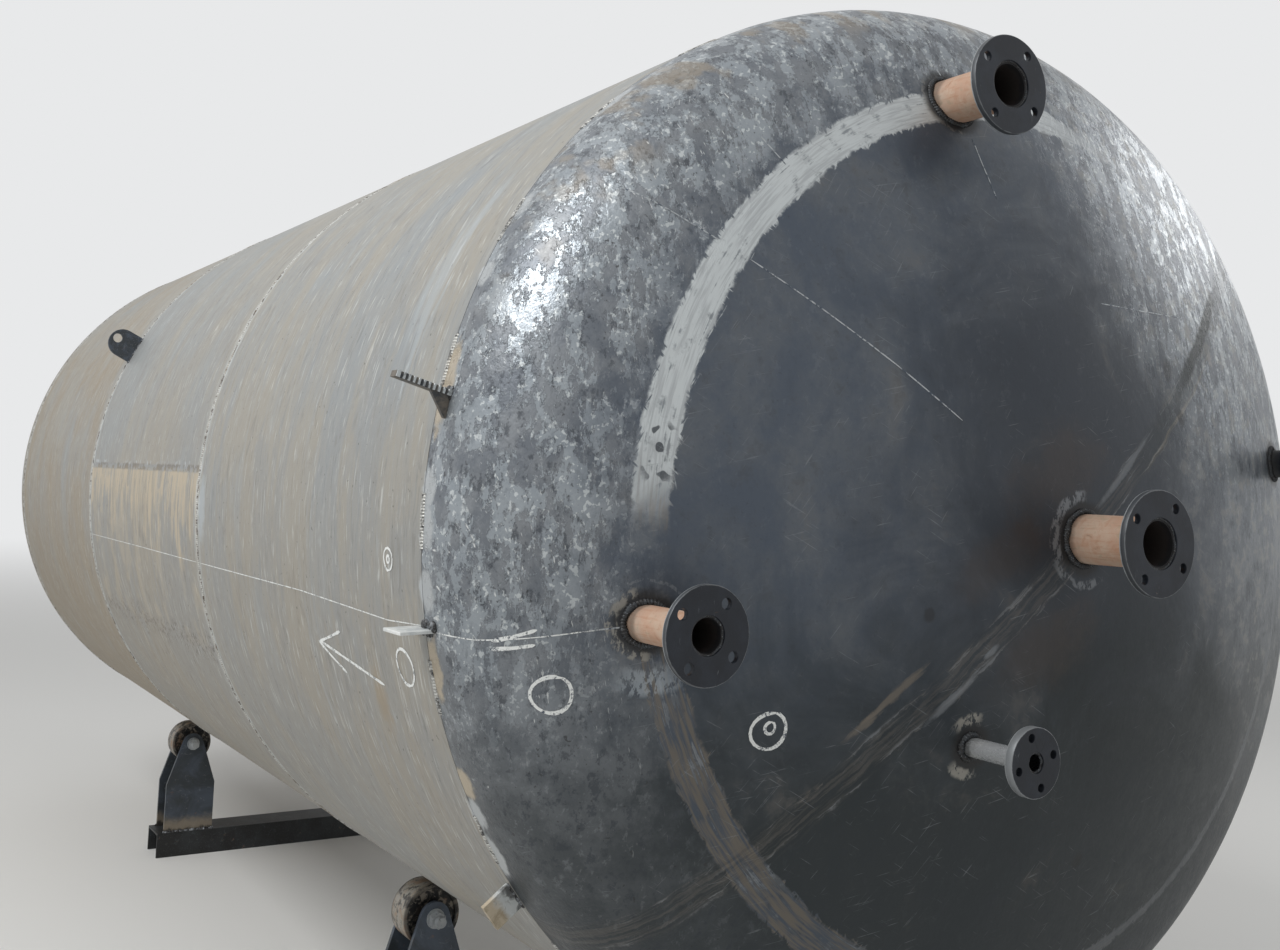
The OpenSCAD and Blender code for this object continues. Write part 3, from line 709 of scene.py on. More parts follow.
def flange_finish(name, nozzle):
    """Blue black varnish of a flange, bright along its back rim: partly rubbed steel, partly a painted highlight."""
    c = colours()
    low_corner, high_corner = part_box("flange_" + nozzle)
    middle = (low_corner + high_corner) / 2
    radius = (high_corner.z - low_corner.z) / 2
    f = Finish(name, metallic=0.25)
    along, local_y, local_z = f.split(f.moved((0.0, middle.y, middle.z)))
    away = f.length(f.joined(0.0, local_y, local_z))
    mottle = f.noise(f.place, 60.0, 5.0, 0.65, 0.4)
    cloud = f.noise(f.place, 16.0, 4.0, 0.6)
    grain = f.noise(f.place, 380.0, 2.0, 0.6)
    turned = f.noise(f.joined(away * 900.0, 0.0, 0.0), 1.0, 2.0, 0.5)
    scuffs = f.noise(f.place, (40.0, 90.0, 40.0), 4.0, 0.65, 1.5)
    f.colour = f.mixed(cloud.rises(0.4, 0.66) * 0.45, c.flange_black, c.flange_blue)
    f.coat(scuffs.rises(0.66, 0.74) * 0.34, c.scale_pale)
    # the bright rim is partly rubbed steel and partly a painted highlight; on the low flange it runs all round
    rim = (away + (mottle - 0.5) * 0.004).rises(radius - 0.0016, radius - 0.0006)
    along = along + (mottle - 0.5) * 0.003
    back = along.rises(low_corner.x + 0.0036, low_corner.x + 0.0014)
    front = along.rises(high_corner.x - 0.0018, high_corner.x - 0.0006)
    whole = 0.6 if nozzle == "low" else 0.12
    f.coat(rim * f.any_of([back, front * 0.35, whole]) * 0.85, c.ground_steel)
    f.coat(mottle.rises(0.68, 0.78) * 0.45, c.rust)
    roughness = (mottle * 0.5 + turned * 0.5).spread(0.3, 0.6)
    height = mottle * 0.35 + grain * 0.25 + turned * 0.4
    return f.close(roughness, height, 0.0004)


def pipe_finish(name, nozzle, tone, worn, metallic):
    """Nozzle pipe: streaked primer, bright steel or dark varnish outside, painted near black inside as the shade in
    the bore.
    """
    c = colours()
    middle, pipe_r = nozzle_middle(nozzle)
    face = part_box("pipe_" + nozzle)[1].x
    foot = on_head(middle.y, middle.z - AXIS_Z, 0.0)[0].x
    f = Finish(name, metallic=metallic, specular=0.4)
    away = f.length(f.moved((0.0, middle.y, middle.z), (THROUGH, 1.0, 1.0)))
    mottle = f.noise(f.place, 55.0, 5.0, 0.65, 0.5)
    cloud = f.noise(f.place, 18.0, 4.0, 0.6)
    runs = f.noise(f.place, (12.0, 150.0, 150.0), 5.0, 0.64)
    bands = f.noise(f.place, (90.0, 12.0, 12.0), 4.0, 0.62)
    grain = f.noise(f.place, 420.0, 2.0, 0.6)
    f.colour = f.mixed(cloud.rises(0.4, 0.64) * 0.6, tone, worn)
    primed, polished = nozzle in ("centre", "top", "side"), nozzle == "low"
    streak_tone = c.primer_deep if primed else c.ring_white if polished else worn
    f.coat(runs.rises(0.5, 0.64) * 0.45, streak_tone)
    f.coat(bands.rises(0.56, 0.68) * 0.4, worn)
    if primed:
        f.coat(mottle.rises(0.52, 0.64) * 0.4, c.primer_deep)
        f.coat(mottle.rises(0.45, 0.34) * 0.45, c.ring_tan)
    place = f.x + (mottle - 0.5) * 0.022
    bare = place.rises(foot + 0.038, foot + 0.02)
    f.coat(bare * 0.16, c.plate_beige)
    burnt = place.rises(foot + 0.018, foot + 0.006)
    f.coat(burnt * 0.6, c.scorch if primed else c.weld_dark)
    f.coat(place.rises(face - 0.016, face - 0.006) * 0.8, c.flange_black)
    f.coat(mottle.rises(0.64, 0.74) * 0.4, c.scorch if primed else c.weld_dark)
    # inside the bore the pipe is painted near black: painted shade
    inside = away.rises(pipe_r - 0.002, pipe_r - 0.0032)
    f.coat(inside * 0.96, c.bore_black)
    smooth, rough, depth = (0.16, 0.38, 0.0002) if polished else (0.48, 0.82, 0.0005)
    roughness = (mottle * 0.5 + runs * 0.5).spread(smooth, rough)
    return f.close(roughness, mottle * 0.4 + grain * 0.3 + runs * 0.3, depth)


def cut_plate_finish(name, tone, worn, groove_scale, rusty=0.35):
    """Scaled plate with torch-cut edges: fine grooves run through its thickness."""
    c = colours()
    f = Finish(name, metallic=0.3)
    mottle = f.noise(f.place, 38.0, 5.0, 0.65, 0.6)
    cloud = f.noise(f.place, 17.0, 5.0, 0.65, 0.8)
    grain = f.noise(f.place, 300.0, 2.0, 0.6)
    grooves = f.noise(f.place, groove_scale, 3.0, 0.6)
    f.colour = f.mixed((mottle * 0.5 + cloud * 0.5).rises(0.42, 0.6), tone, worn)
    f.coat(grooves.rises(0.58, 0.72) * 0.4, c.ground_steel)
    f.coat(mottle.rises(0.6, 0.72) * rusty, c.rust)
    roughness = mottle.spread(0.34, 0.7)
    height = mottle * 0.4 + grain * 0.15 + grooves * 0.45
    return f.close(roughness, height, 0.0009)


def burnt_plate_finish(name):
    """The small square plates: tan at the outer end, burnt pale with soot towards the weld."""
    c = colours()
    f = Finish(name, metallic=0.15)
    mottle = f.noise(f.place, 46.0, 5.0, 0.66, 0.8)
    cloud = f.noise(f.place, 22.0, 5.0, 0.66, 1.0)
    grain = f.noise(f.place, 300.0, 2.0, 0.6)
    away = f.length(f.joined(0.0, f.y, f.z)) + (cloud - 0.5) * 0.03
    f.colour = f.mixed(cloud.rises(0.42, 0.6), c.field_tan, c.ring_tan)
    f.coat(away.rises(SHELL_R + 0.04, SHELL_R + 0.024) * 0.9, c.ring_white)
    soot = away.rises(SHELL_R + 0.024, SHELL_R + 0.012) * mottle.rises(0.42, 0.54)
    f.coat(soot * 0.8, c.weld_dark)
    f.coat(mottle.rises(0.6, 0.7) * 0.45, c.scorch)
    roughness = mottle.spread(0.38, 0.72)
    return f.close(roughness, mottle * 0.5 + grain * 0.3, 0.0009)


def dog_finish(name):
    """Dark plate whose torch-cut front edge is painted near white on the ridges between the notches: a painted
    highlight.
    """
    c = colours()
    f = Finish(name, metallic=0.35)
    mottle = f.noise(f.place, 48.0, 5.0, 0.65, 0.6)
    cloud = f.noise(f.place, 19.0, 5.0, 0.65, 0.8)
    grain = f.noise(f.place, 300.0, 2.0, 0.6)
    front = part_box("dog_left")[1].x
    f.colour = f.mixed(cloud.rises(0.42, 0.6), c.fitting_dark, c.ground_brown)
    # the peaks of the cut edge are painted near white: painted highlight
    ridges = (f.x + (mottle - 0.5) * 0.003).rises(front - 0.0026, front - 0.0008)
    f.coat(ridges * mottle.rises(0.36, 0.52).spread(0.45, 0.95), c.ring_white)
    f.coat(mottle.rises(0.6, 0.7) * 0.35, c.weld_dark)
    roughness = mottle.spread(0.34, 0.7)
    return f.close(roughness, mottle * 0.5 + grain * 0.3, 0.0009)


def bracket_finish(name):
    """Stand plates: dark scale, with scorched tan steel above the weld to the base."""
    c = colours()
    f = Finish(name, metallic=0.35)
    mottle = f.noise(f.place, 26.0, 6.0, 0.66, 0.7)
    cloud = f.noise(f.place, 7.0, 5.0, 0.64, 0.8)
    grain = f.noise(f.place, 280.0, 2.0, 0.6)
    scuffs = f.noise(f.place, (40.0, 30.0, 44.0), 4.0, 0.64, 1.4)
    f.colour = f.mixed(cloud.rises(0.38, 0.64), c.stand_dark, c.scale_blue)
    f.coat(scuffs.rises(0.58, 0.7) * 0.35, c.scale_pale)
    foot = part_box("brackets_front_left")[0].z
    level = f.split(f.place)[2] + (mottle - 0.5) * 0.06
    f.coat(level.rises(foot + 0.07, foot + 0.026) * 0.66, c.plate_tan)
    f.coat(level.rises(foot + 0.02, foot + 0.006) * 0.85, c.weld_dark)
    f.coat(mottle.rises(0.62, 0.74) * 0.45, c.rust)
    roughness = (mottle * 0.6 + cloud * 0.4).spread(0.28, 0.66)
    height = mottle * 0.5 + grain * 0.2 + scuffs * 0.3
    return f.close(roughness, height, 0.0008)


def roller_finish(name, roller):
    """Roller: pale worn tread with rust, near black in blotches on its hollow side faces."""
    c = colours()
    low_corner, high_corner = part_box(roller)
    middle = (low_corner + high_corner) / 2
    radius = (high_corner.z - low_corner.z) / 2
    half = (high_corner.x - low_corner.x) / 2
    f = Finish(name, metallic=0.45)
    local = f.moved(tuple(middle))
    along, local_y, local_z = f.split(local)
    away = f.length(f.joined(0.0, local_y, local_z))
    mottle = f.noise(f.place, 48.0, 5.0, 0.66, 0.6)
    cloud = f.noise(f.place, 20.0, 4.0, 0.64)
    bands = f.noise(local, (150.0, 5.0, 5.0), 4.0, 0.6)
    grain = f.noise(f.place, 320.0, 2.0, 0.6)
    f.colour = f.mixed(bands.rises(0.38, 0.62), c.roller_brown, c.plate_beige)
    f.coat(cloud.rises(0.48, 0.64) * 0.55, c.rust)
    f.coat((mottle * 0.5 + cloud * 0.5).rises(0.5, 0.43) * 0.85, c.weld_dark)
    hollow = (away + (mottle - 0.5) * 0.008).rises(radius - 0.004, radius - 0.01)
    f.coat(hollow * mottle.rises(0.5, 0.6).spread(0.92, 0.3), c.bore_black)
    rims = (abs(along) + (mottle - 0.5) * 0.006).rises(half - 0.008, half - 0.002)
    f.coat(rims * 0.55, c.weld_dark)
    roughness = (mottle * 0.5 + bands * 0.5).spread(0.28, 0.66)
    height = mottle * 0.4 + bands * 0.4 + grain * 0.2
    return f.close(roughness, height, 0.0008)


def chalk_finish(name, ground):
    """Chalk that broke up over the roughness of the plate."""
    c = colours()
    f = Finish(name, metallic=0.0, specular=0.2)
    crumb = f.noise(f.place, 210.0, 4.0, 0.7, 0.4)
    drag = f.noise(f.place, 55.0, 3.0, 0.6)
    solid = (crumb * 0.6 + drag * 0.4).rises(0.4, 0.5)
    f.colour = f.mixed(solid, ground, c.chalk)
    roughness = crumb.spread(0.82, 0.98)
    return f.close(roughness, crumb, 0.0004)


def scribe_finish(name):
    """A scratch or scribed line that shows bright steel."""
    c = colours()
    f = Finish(name, metallic=0.7)
    gap = f.noise(f.place, 60.0, 4.0, 0.7, 0.4)
    grain = f.noise(f.place, 400.0, 2.0, 0.6)
    f.colour = f.mixed(gap.rises(0.4, 0.54), c.scale_blue, c.ground_steel)
    roughness = grain.spread(0.3, 0.55)
    return f.close(roughness, grain, 0.0003)


def wear(material, *names):
    """Gives CAD nodes that finish."""
    for name in names:
        mesh = frame["nodes"][name].data
        mesh.materials.clear()
        mesh.materials.append(material)


def break_edges(*names):
    """A small bevel on the sharp edges of CAD nodes, as a modifier."""
    for name in names:
        node = frame["nodes"][name]
        weld = node.modifiers.new("Join", "WELD")
        weld.merge_threshold = 0.00002
        bevel = node.modifiers.new("Edge break", "BEVEL")
        bevel.width = sizes().edge_break
        bevel.segments = 2
        bevel.limit_method = "ANGLE"
        bevel.angle_limit = math.radians(35.0)
        bevel.use_clamp_overlap = True
        bevel.harden_normals = False


def add_piece(name, bm, material, body):
    """Closes a bmesh into an object that rides on a body."""
    mesh = bpy.data.meshes.new(name)
    bm.to_mesh(mesh)
    bm.free()
    piece = bpy.data.objects.new(name, mesh)
    bpy.context.scene.collection.objects.link(piece)
    mesh.materials.append(material)
    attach(piece, body)
    return piece


def on_head(y, z, lift):
    """A point on the front head, at y and z from the tank axis, and the way the plate faces there."""
    radius = math.hypot(y, z)
    if radius < KNUCKLE_START:
        depth = math.sqrt(CROWN_R**2 - radius**2)
        facing = Vector((depth, y, z)).normalized()
        point = Vector((CROWN_X + depth, y, AXIS_Z + z))
    else:
        out = min(radius - KNUCKLE_AT, KNUCKLE_R)
        depth = math.sqrt(max(KNUCKLE_R**2 - out**2, 0.0))
        facing = Vector((depth, y / radius * out, z / radius * out)).normalized()
        point = Vector((KNUCKLE_X + depth, y, AXIS_Z + z))
    return point + facing * lift, facing


def on_shell(x, deg, lift):
    """A point on the shell at x and at an angle round the axis, and the way the plate faces there."""
    turn = math.radians(deg)
    facing = Vector((0.0, math.cos(turn), math.sin(turn)))
    return Vector((x, 0.0, AXIS_Z)) + facing * (SHELL_R + lift), facing


def stroke(bm, path, width, surface):
    """Lays one thin strip of chalk or a scratch along a path on a surface."""
    lift = sizes().mark_lift
    spots = [surface(a, b, lift)[0] for a, b in path]
    reach = [0.0]
    for first, second in zip(spots, spots[1:]):
        reach.append(reach[-1] + (second - first).length)
    steps = max(12, int(reach[-1] / 0.010))
    grid = bmesh.ops.create_grid(bm, x_segments=steps, y_segments=1, size=1.0)["verts"]

    def along(share):
        want = share * reach[-1]
        index = max(i for i in range(len(reach) - 1) if reach[i] <= want + 1e-9)
        part = (want - reach[index]) / max(reach[index + 1] - reach[index], 1e-9)
        a = path[index][0] + (path[index + 1][0] - path[index][0]) * part
        b = path[index][1] + (path[index + 1][1] - path[index][1]) * part
        return surface(a, b, lift)

    for vert in grid:
        share = (vert.co.x + 1) / 2
        here, facing = along(share)
        before, _ = along(max(share - 0.002, 0.0))
        after, _ = along(min(share + 0.002, 1.0))
        sideways = (after - before).cross(facing).normalized()
        thin = 1.0 + 0.22 * math.sin(share * reach[-1] * 83.0) * math.sin(share * reach[-1] * 31.0 + 1.0)
        thin *= min(1.0, 0.35 + 14.0 * min(share, 1.0 - share))
        vert.co = here + sideways * (vert.co.y * width / 2 * thin)


def ring_path(a, b, half_a, half_b):
    """A hand-drawn closed ring round (a, b)."""
    path = []
    for index in range(RING_POINTS + 1):
        share = index / RING_POINTS
        turn = math.radians(RING_START + RING_SWEEP * share)
        reach = 1.0 + 0.04 * math.sin(2 * turn + a * 9) + 0.024 * math.sin(3 * turn + b * 5) + 0.03 * share
        path.append((a + half_a * reach * math.cos(turn), b + half_b * reach * math.sin(turn)))
    return path


def close_strips(bm):
    """Gives the strips a hair's thickness, so they are closed and face outwards."""
    bmesh.ops.solidify(bm, geom=bm.faces[:], thickness=0.00025)
    bmesh.ops.recalc_face_normals(bm, faces=bm.faces[:])


def ripple_ring(bm, middle, ring_r, bead_r, lobes, place, depth, seed):
    """A weld bead round a pipe: a spun circle whose size swells at each ripple."""
    made = bmesh.ops.create_circle(
        bm, cap_ends=False, segments=10, radius=bead_r, matrix=Matrix.Translation(Vector((0.0, ring_r, 0.0)))
    )
    verts = made["verts"]
    edges = list({e for v in verts for e in v.link_edges})
    bmesh.ops.spin(
        bm, geom=verts + edges, cent=(0, 0, 0), axis=(1, 0, 0), dvec=(0, 0, 0),
        angle=2 * math.pi, steps=lobes * 4, use_merge=True, use_duplicate=False,
    )
    fresh = [v for v in bm.verts if not v.tag]
    for vert in fresh:
        vert.tag = True
        angle = math.atan2(vert.co.z, vert.co.y)
        core = Vector((0.0, ring_r * math.cos(angle), ring_r * math.sin(angle)))
        swell = 1.0 + depth * math.cos(angle * lobes)
        swell += 0.10 * math.sin(angle * 5 + seed) + 0.07 * math.sin(angle * 11 + seed * 3)
        lean = 0.0006 * math.sin(angle * 7 + seed)
        out = (vert.co - core) * swell
        y, z = middle.y + core.y, middle.z + core.z
        vert.co = Vector((place(y, z) + out.x + lean, y + out.y, z + out.z))


def lump_row(bm, spots, size, seed):
    """A rough weld: flattened blobs that run into each other, one at each (point, facing)."""
    for number, (point, facing) in enumerate(spots):
        swell = size * (1.0 + 0.28 * math.sin(number * 2.4 + seed) + 0.16 * math.sin(number * 5.1 + seed * 2.0))
        turn = facing.to_track_quat("Z", "Y").to_matrix().to_4x4()
        shape = Matrix.Translation(point) @ turn @ Matrix.Diagonal((swell, swell * 1.12, swell * 0.72, 1.0))
        made = bmesh.ops.create_icosphere(bm, subdivisions=2, radius=1.0, matrix=shape)
        for vert in made["verts"]:
            for face in vert.link_faces:
                face.smooth = True


class TANK_OT_head_finish(bpy.types.Operator):
    """Finish of the two heads"""

    bl_idname = "tank.head_finish"
    bl_label = "Head finish"

    def execute(self, context):
        wear(head_finish("Mill scale with ground ring"), "head_front")
        wear(shell_finish("Tan plate of the rear head", 0.2, 0.90), "head_rear")
        return {"FINISHED"}


class TANK_OT_shell_finish(bpy.types.Operator):
    """Finish of the three shell courses and of the beads between them"""

    bl_idname = "tank.shell_finish"
    bl_label = "Shell finish"

    def execute(self, context):
        c = colours()
        wear(shell_finish("Streaked plate", 0.55, 0.22), "shell_front")
        wear(shell_finish("Streaked plate with tan field", 0.35, 0.30, field=0.90), "shell_middle")
        wear(shell_finish("Tan plate", 0.15, 0.80), "shell_rear")
        seams = ["seam_weld_" + place for place in ("middle", "rear", "rear_head")]
        wear(weld_finish("Seam bead", c.weld_grey, c.scorch), *seams)
        wear(weld_finish("Seam tacks", c.weld_grey, c.weld_dark), "seam_tacks_front")
        return {"FINISHED"}


class TANK_OT_nozzle_finish(bpy.types.Operator):
    """Finish of the nozzle pipes and flanges"""

    bl_idname = "tank.nozzle_finish"
    bl_label = "Nozzle finish"

    def execute(self, context):
        c = colours()
        for nozzle in NOZZLES:
            tone, worn, metallic = c.primer, c.primer_pale, 0.0
            if nozzle == "low":
                tone, worn, metallic = c.pipe_steel, c.ground_steel, 0.55
            if nozzle == "right":
                tone, worn, metallic = c.flange_black, c.flange_blue, 0.2
            wear(pipe_finish("Pipe " + nozzle, nozzle, tone, worn, metallic), "pipe_" + nozzle)
            wear(flange_finish("Flange " + nozzle, nozzle), "flange_" + nozzle)
        break_edges(*["flange_" + nozzle for nozzle in NOZZLES])
        return {"FINISHED"}


class TANK_OT_nozzle_beads(bpy.types.Operator):
    """Rippled weld beads at the head, behind the flange and inside the flange of each nozzle"""

    bl_idname = "tank.nozzle_beads"
    bl_label = "Nozzle beads"

    def execute(self, context):
        c = colours()
        bead = weld_finish("Nozzle bead", c.weld_dark, c.fitting_dark, ripple=False)
        for number, nozzle in enumerate(NOZZLES):
            low_corner, high_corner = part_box("pipe_" + nozzle)
            middle = (low_corner + high_corner) / 2
            middle.x = 0.0
            pipe_r = (high_corner.y - low_corner.y) / 2
            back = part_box("flange_" + nozzle)[0].x
            bm = bmesh.new()
            head_place = lambda y, z: on_head(y, z - AXIS_Z, 0.0)[0].x
            lobes = RIPPLE_LOBES[nozzle]
            ripple_ring(bm, middle, pipe_r + 0.0035, 0.0062, lobes, head_place, 0.16, number + 0.4)
            ripple_ring(bm, middle, pipe_r + 0.0012, 0.0042, lobes, lambda y, z: back, 0.14, number + 1.7)
            end = high_corner.x
            ripple_ring(bm, middle, pipe_r - 0.0006, 0.0026, lobes, lambda y, z: end, 0.12, number + 2.9)
            bmesh.ops.recalc_face_normals(bm, faces=bm.faces[:])
            for face in bm.faces:
                face.smooth = True
            piece = add_piece("beads_" + nozzle, bm, bead, "vessel")
            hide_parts("welds_" + nozzle)
        return {"FINISHED"}


class TANK_OT_fitting_finish(bpy.types.Operator):
    """Finish of the lifting lugs, the dogs and the tabs"""

    bl_idname = "tank.fitting_finish"
    bl_label = "Fitting finish"

    def execute(self, context):
        c = colours()
        lug = cut_plate_finish("Lug plate", c.fitting_dark, c.scale_blue, (20.0, 260.0, 260.0))
        tab = cut_plate_finish("Bright tab", c.ring_white, c.chalk, (260.0, 260.0, 20.0), 0.10)
        wear(lug, "lug_left", "lug_right")
        wear(dog_finish("Torch-cut plate"), "dog_left", "dog_right")
        wear(tab, "tab_left", "tab_right")
        wear(burnt_plate_finish("Burnt square plate"), "square_left", "square_right")
        break_edges(*[kind + side for kind in ("lug", "tab", "square", "dog") for side in ("_left", "_right")])
        return {"FINISHED"}


class TANK_OT_weld_lumps(bpy.types.Operator):
    """Rough hand welds at the foot of the plates on the tank and of the stand plates"""

    bl_idname = "tank.weld_lumps"
    bl_label = "Weld lumps"

    def execute(self, context):
        c = colours()
        rough = weld_finish("Rough hand weld", c.weld_dark, c.scale_pale, ripple=False)
        bm = bmesh.new()
        for side, hand in (("left", -1), ("right", 1)):

            def row(size, seed, places):
                """Lays one weld at (x, angle on the left side) places."""
                spots = [on_shell(x, deg if side == "left" else 180.0 - deg, 0.0) for x, deg in places]
                lump_row(bm, spots, size, seed + hand)

            lug_back, lug_front = (corner.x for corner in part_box("lug_" + side))
            for x in (lug_back - 0.002, lug_front + 0.002):
                row(0.0052, 0.3, [(x, LUG_DEG - 2.6 + 0.4 * step) for step in range(14)])
            tab_back, tab_front = (corner.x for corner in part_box("tab_" + side))
            row(0.0085, 1.3, [(tab_front - 0.010 * step, TAB_DEG - 0.42) for step in range(5)])
            row(0.0045, 2.1, [(tab_back + 0.009 * step, TAB_DEG + 0.34) for step in range(8)])
            dog_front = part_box("dog_" + side)[1].x
            for shift in (-0.40, 0.40):
                row(0.0050, 3.7, [(dog_front - 0.004 - 0.006 * step, DOG_DEG + shift) for step in range(4)])
            square_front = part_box("square_" + side)[1].x
            row(0.0055, 4.9, [(square_front + 0.002, SQUARE_DEG - 1.2 + 0.4 * step) for step in range(7)])
        add_piece("plate_welds", bm, rough, "vessel")
        bm = bmesh.new()
        for place in STAND_PLACES:
            low_corner, high_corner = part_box("brackets_" + place)
            for x, way in ((low_corner.x, -1.0), (high_corner.x, 1.0)):
                facing = Vector((way, 0.0, 1.0)).normalized()
                spots = []
                for step in range(STAND_LUMPS):
                    y = low_corner.y + (high_corner.y - low_corner.y) * step / (STAND_LUMPS - 1)
                    spots.append((Vector((x + way * 0.001, y, low_corner.z + 0.001)), facing))
                lump_row(bm, spots, 0.0065, 5.5 + x)
        add_piece("stand_welds", bm, rough, "stands")
        return {"FINISHED"}


class TANK_OT_stand_finish(bpy.types.Operator):
    """Finish of the roller stands"""

    bl_idname = "tank.stand_finish"
    bl_label = "Stand finish"

    def execute(self, context):
        c = colours()
        brackets = ["brackets_" + place for place in STAND_PLACES]
        wear(painted_finish("Old black paint", c.stand_black, c.stand_dark, 0.55, 0.50), "base_front", "base_rear")
        wear(bracket_finish("Stand plate"), *brackets)
        bolt = painted_finish("Greasy bolt steel", c.ground_steel, c.stand_dark, 0.5, 0.36, 0.4, True)
        wear(bolt, *["axle_" + place for place in STAND_PLACES])
        for place in STAND_PLACES:
            wear(roller_finish("Roller " + place, "roller_" + place), "roller_" + place)
        break_edges("base_front", "base_rear", *brackets, *["roller_" + place for place in STAND_PLACES])
        return {"FINISHED"}


class TANK_OT_chalk_marks(bpy.types.Operator):
    """Chalk lines, rings and an arrow"""

    bl_idname = "tank.chalk_marks"
    bl_label = "Chalk marks"

    def execute(self, context):
        c, s = colours(), sizes()
        wide = s.chalk_width
        bm = bmesh.new()
        for share, path in (
            (0.32, [(SEAM_REAR + 0.02, 189.2), (0.0, 189.15), (SEAM_MIDDLE - 0.02, 189.2)]),
            (0.36, [(SEAM_MIDDLE + 0.02, 189.2), (1.57, 189.2), (2.06, 189.8), (SEAM_FRONT - 0.004, 189.4)]),
            (1.0, [(1.986, 196.7), (1.82, 195.5), (1.655, 194.35)]),
            (1.0, [(1.790, 192.5), (1.72, 193.5), (1.650, 194.45)]),
            (1.0, [(1.645, 194.4), (1.70, 195.5), (1.785, 197.0)]),
            (1.0, ring_path(2.111, 194.0, 0.036, 1.72)),
            (0.8, ring_path(2.078, 183.95, 0.020, 1.05)),
            (0.8, ring_path(2.078, 183.95, 0.006, 0.35)),
        ):
            stroke(bm, path, wide * share, on_shell)
        close_strips(bm)
        add_piece("chalk_on_shell", bm, chalk_finish("Chalk on plate", c.plate_grey), "vessel")
        bm = bmesh.new()
        for share, path in (
            (0.32, [(-1.0675, -0.183), (-1.045, -0.184), (-0.976, -0.171), (-0.923, -0.161), (-0.868, -0.153)]),
            (1.0, [(-1.029, -0.183), (-1.005, -0.172), (-0.980, -0.160)]),
            (1.0, [(-1.029, -0.196), (-1.005, -0.191), (-0.980, -0.184)]),
            (1.0, ring_path(-0.952, -0.261, 0.027, 0.028)),
            (1.0, ring_path(-0.621, -0.317, 0.028, 0.030)),
            (0.8, ring_path(-0.619, -0.312, 0.008, 0.010)),
        ):
            stroke(bm, path, wide * share, on_head)
        close_strips(bm)
        add_piece("chalk_on_head", bm, chalk_finish("Chalk on scale", c.scale_blue), "vessel")
        return {"FINISHED"}


class TANK_OT_scratches(bpy.types.Operator):
    """Scribed lines and scratches on the front head"""

    bl_idname = "tank.scratches"
    bl_label = "Scratches"

    def execute(self, context):
        thin = sizes().scribe_width
        bm = bmesh.new()
        for share, path in (
            (1.0, [(-0.836, 0.577), (-0.700, 0.490)]),
            (1.0, [(-0.649, 0.458), (-0.536, 0.382), (-0.396, 0.286), (-0.278, 0.201)]),
            (1.0, [(-0.144, 0.747), (-0.136, 0.693), (-0.121, 0.624)]),
            (1.4, [(-0.184, 0.909), (-0.171, 0.876)]),
            (1.0, [(-0.862, -0.152), (-0.905, -0.158)]),
            (0.7, [(0.108, 0.444), (0.230, 0.442), (0.395, 0.443)]),
            (1.0, [(-0.595, 0.690), (-0.560, 0.640)]),
        ):
            stroke(bm, path, thin * share, on_head)
        for step in range(9):
            base, level = -0.745 + step * 0.0085, 0.730 + step * 0.004
            stroke(bm, [(base, level), (base + 0.006, level + 0.013)], thin * 0.8, on_head)
        close_strips(bm)
        add_piece("scribed_lines", bm, scribe_finish("Scribed steel"), "vessel")
        return {"FINISHED"}


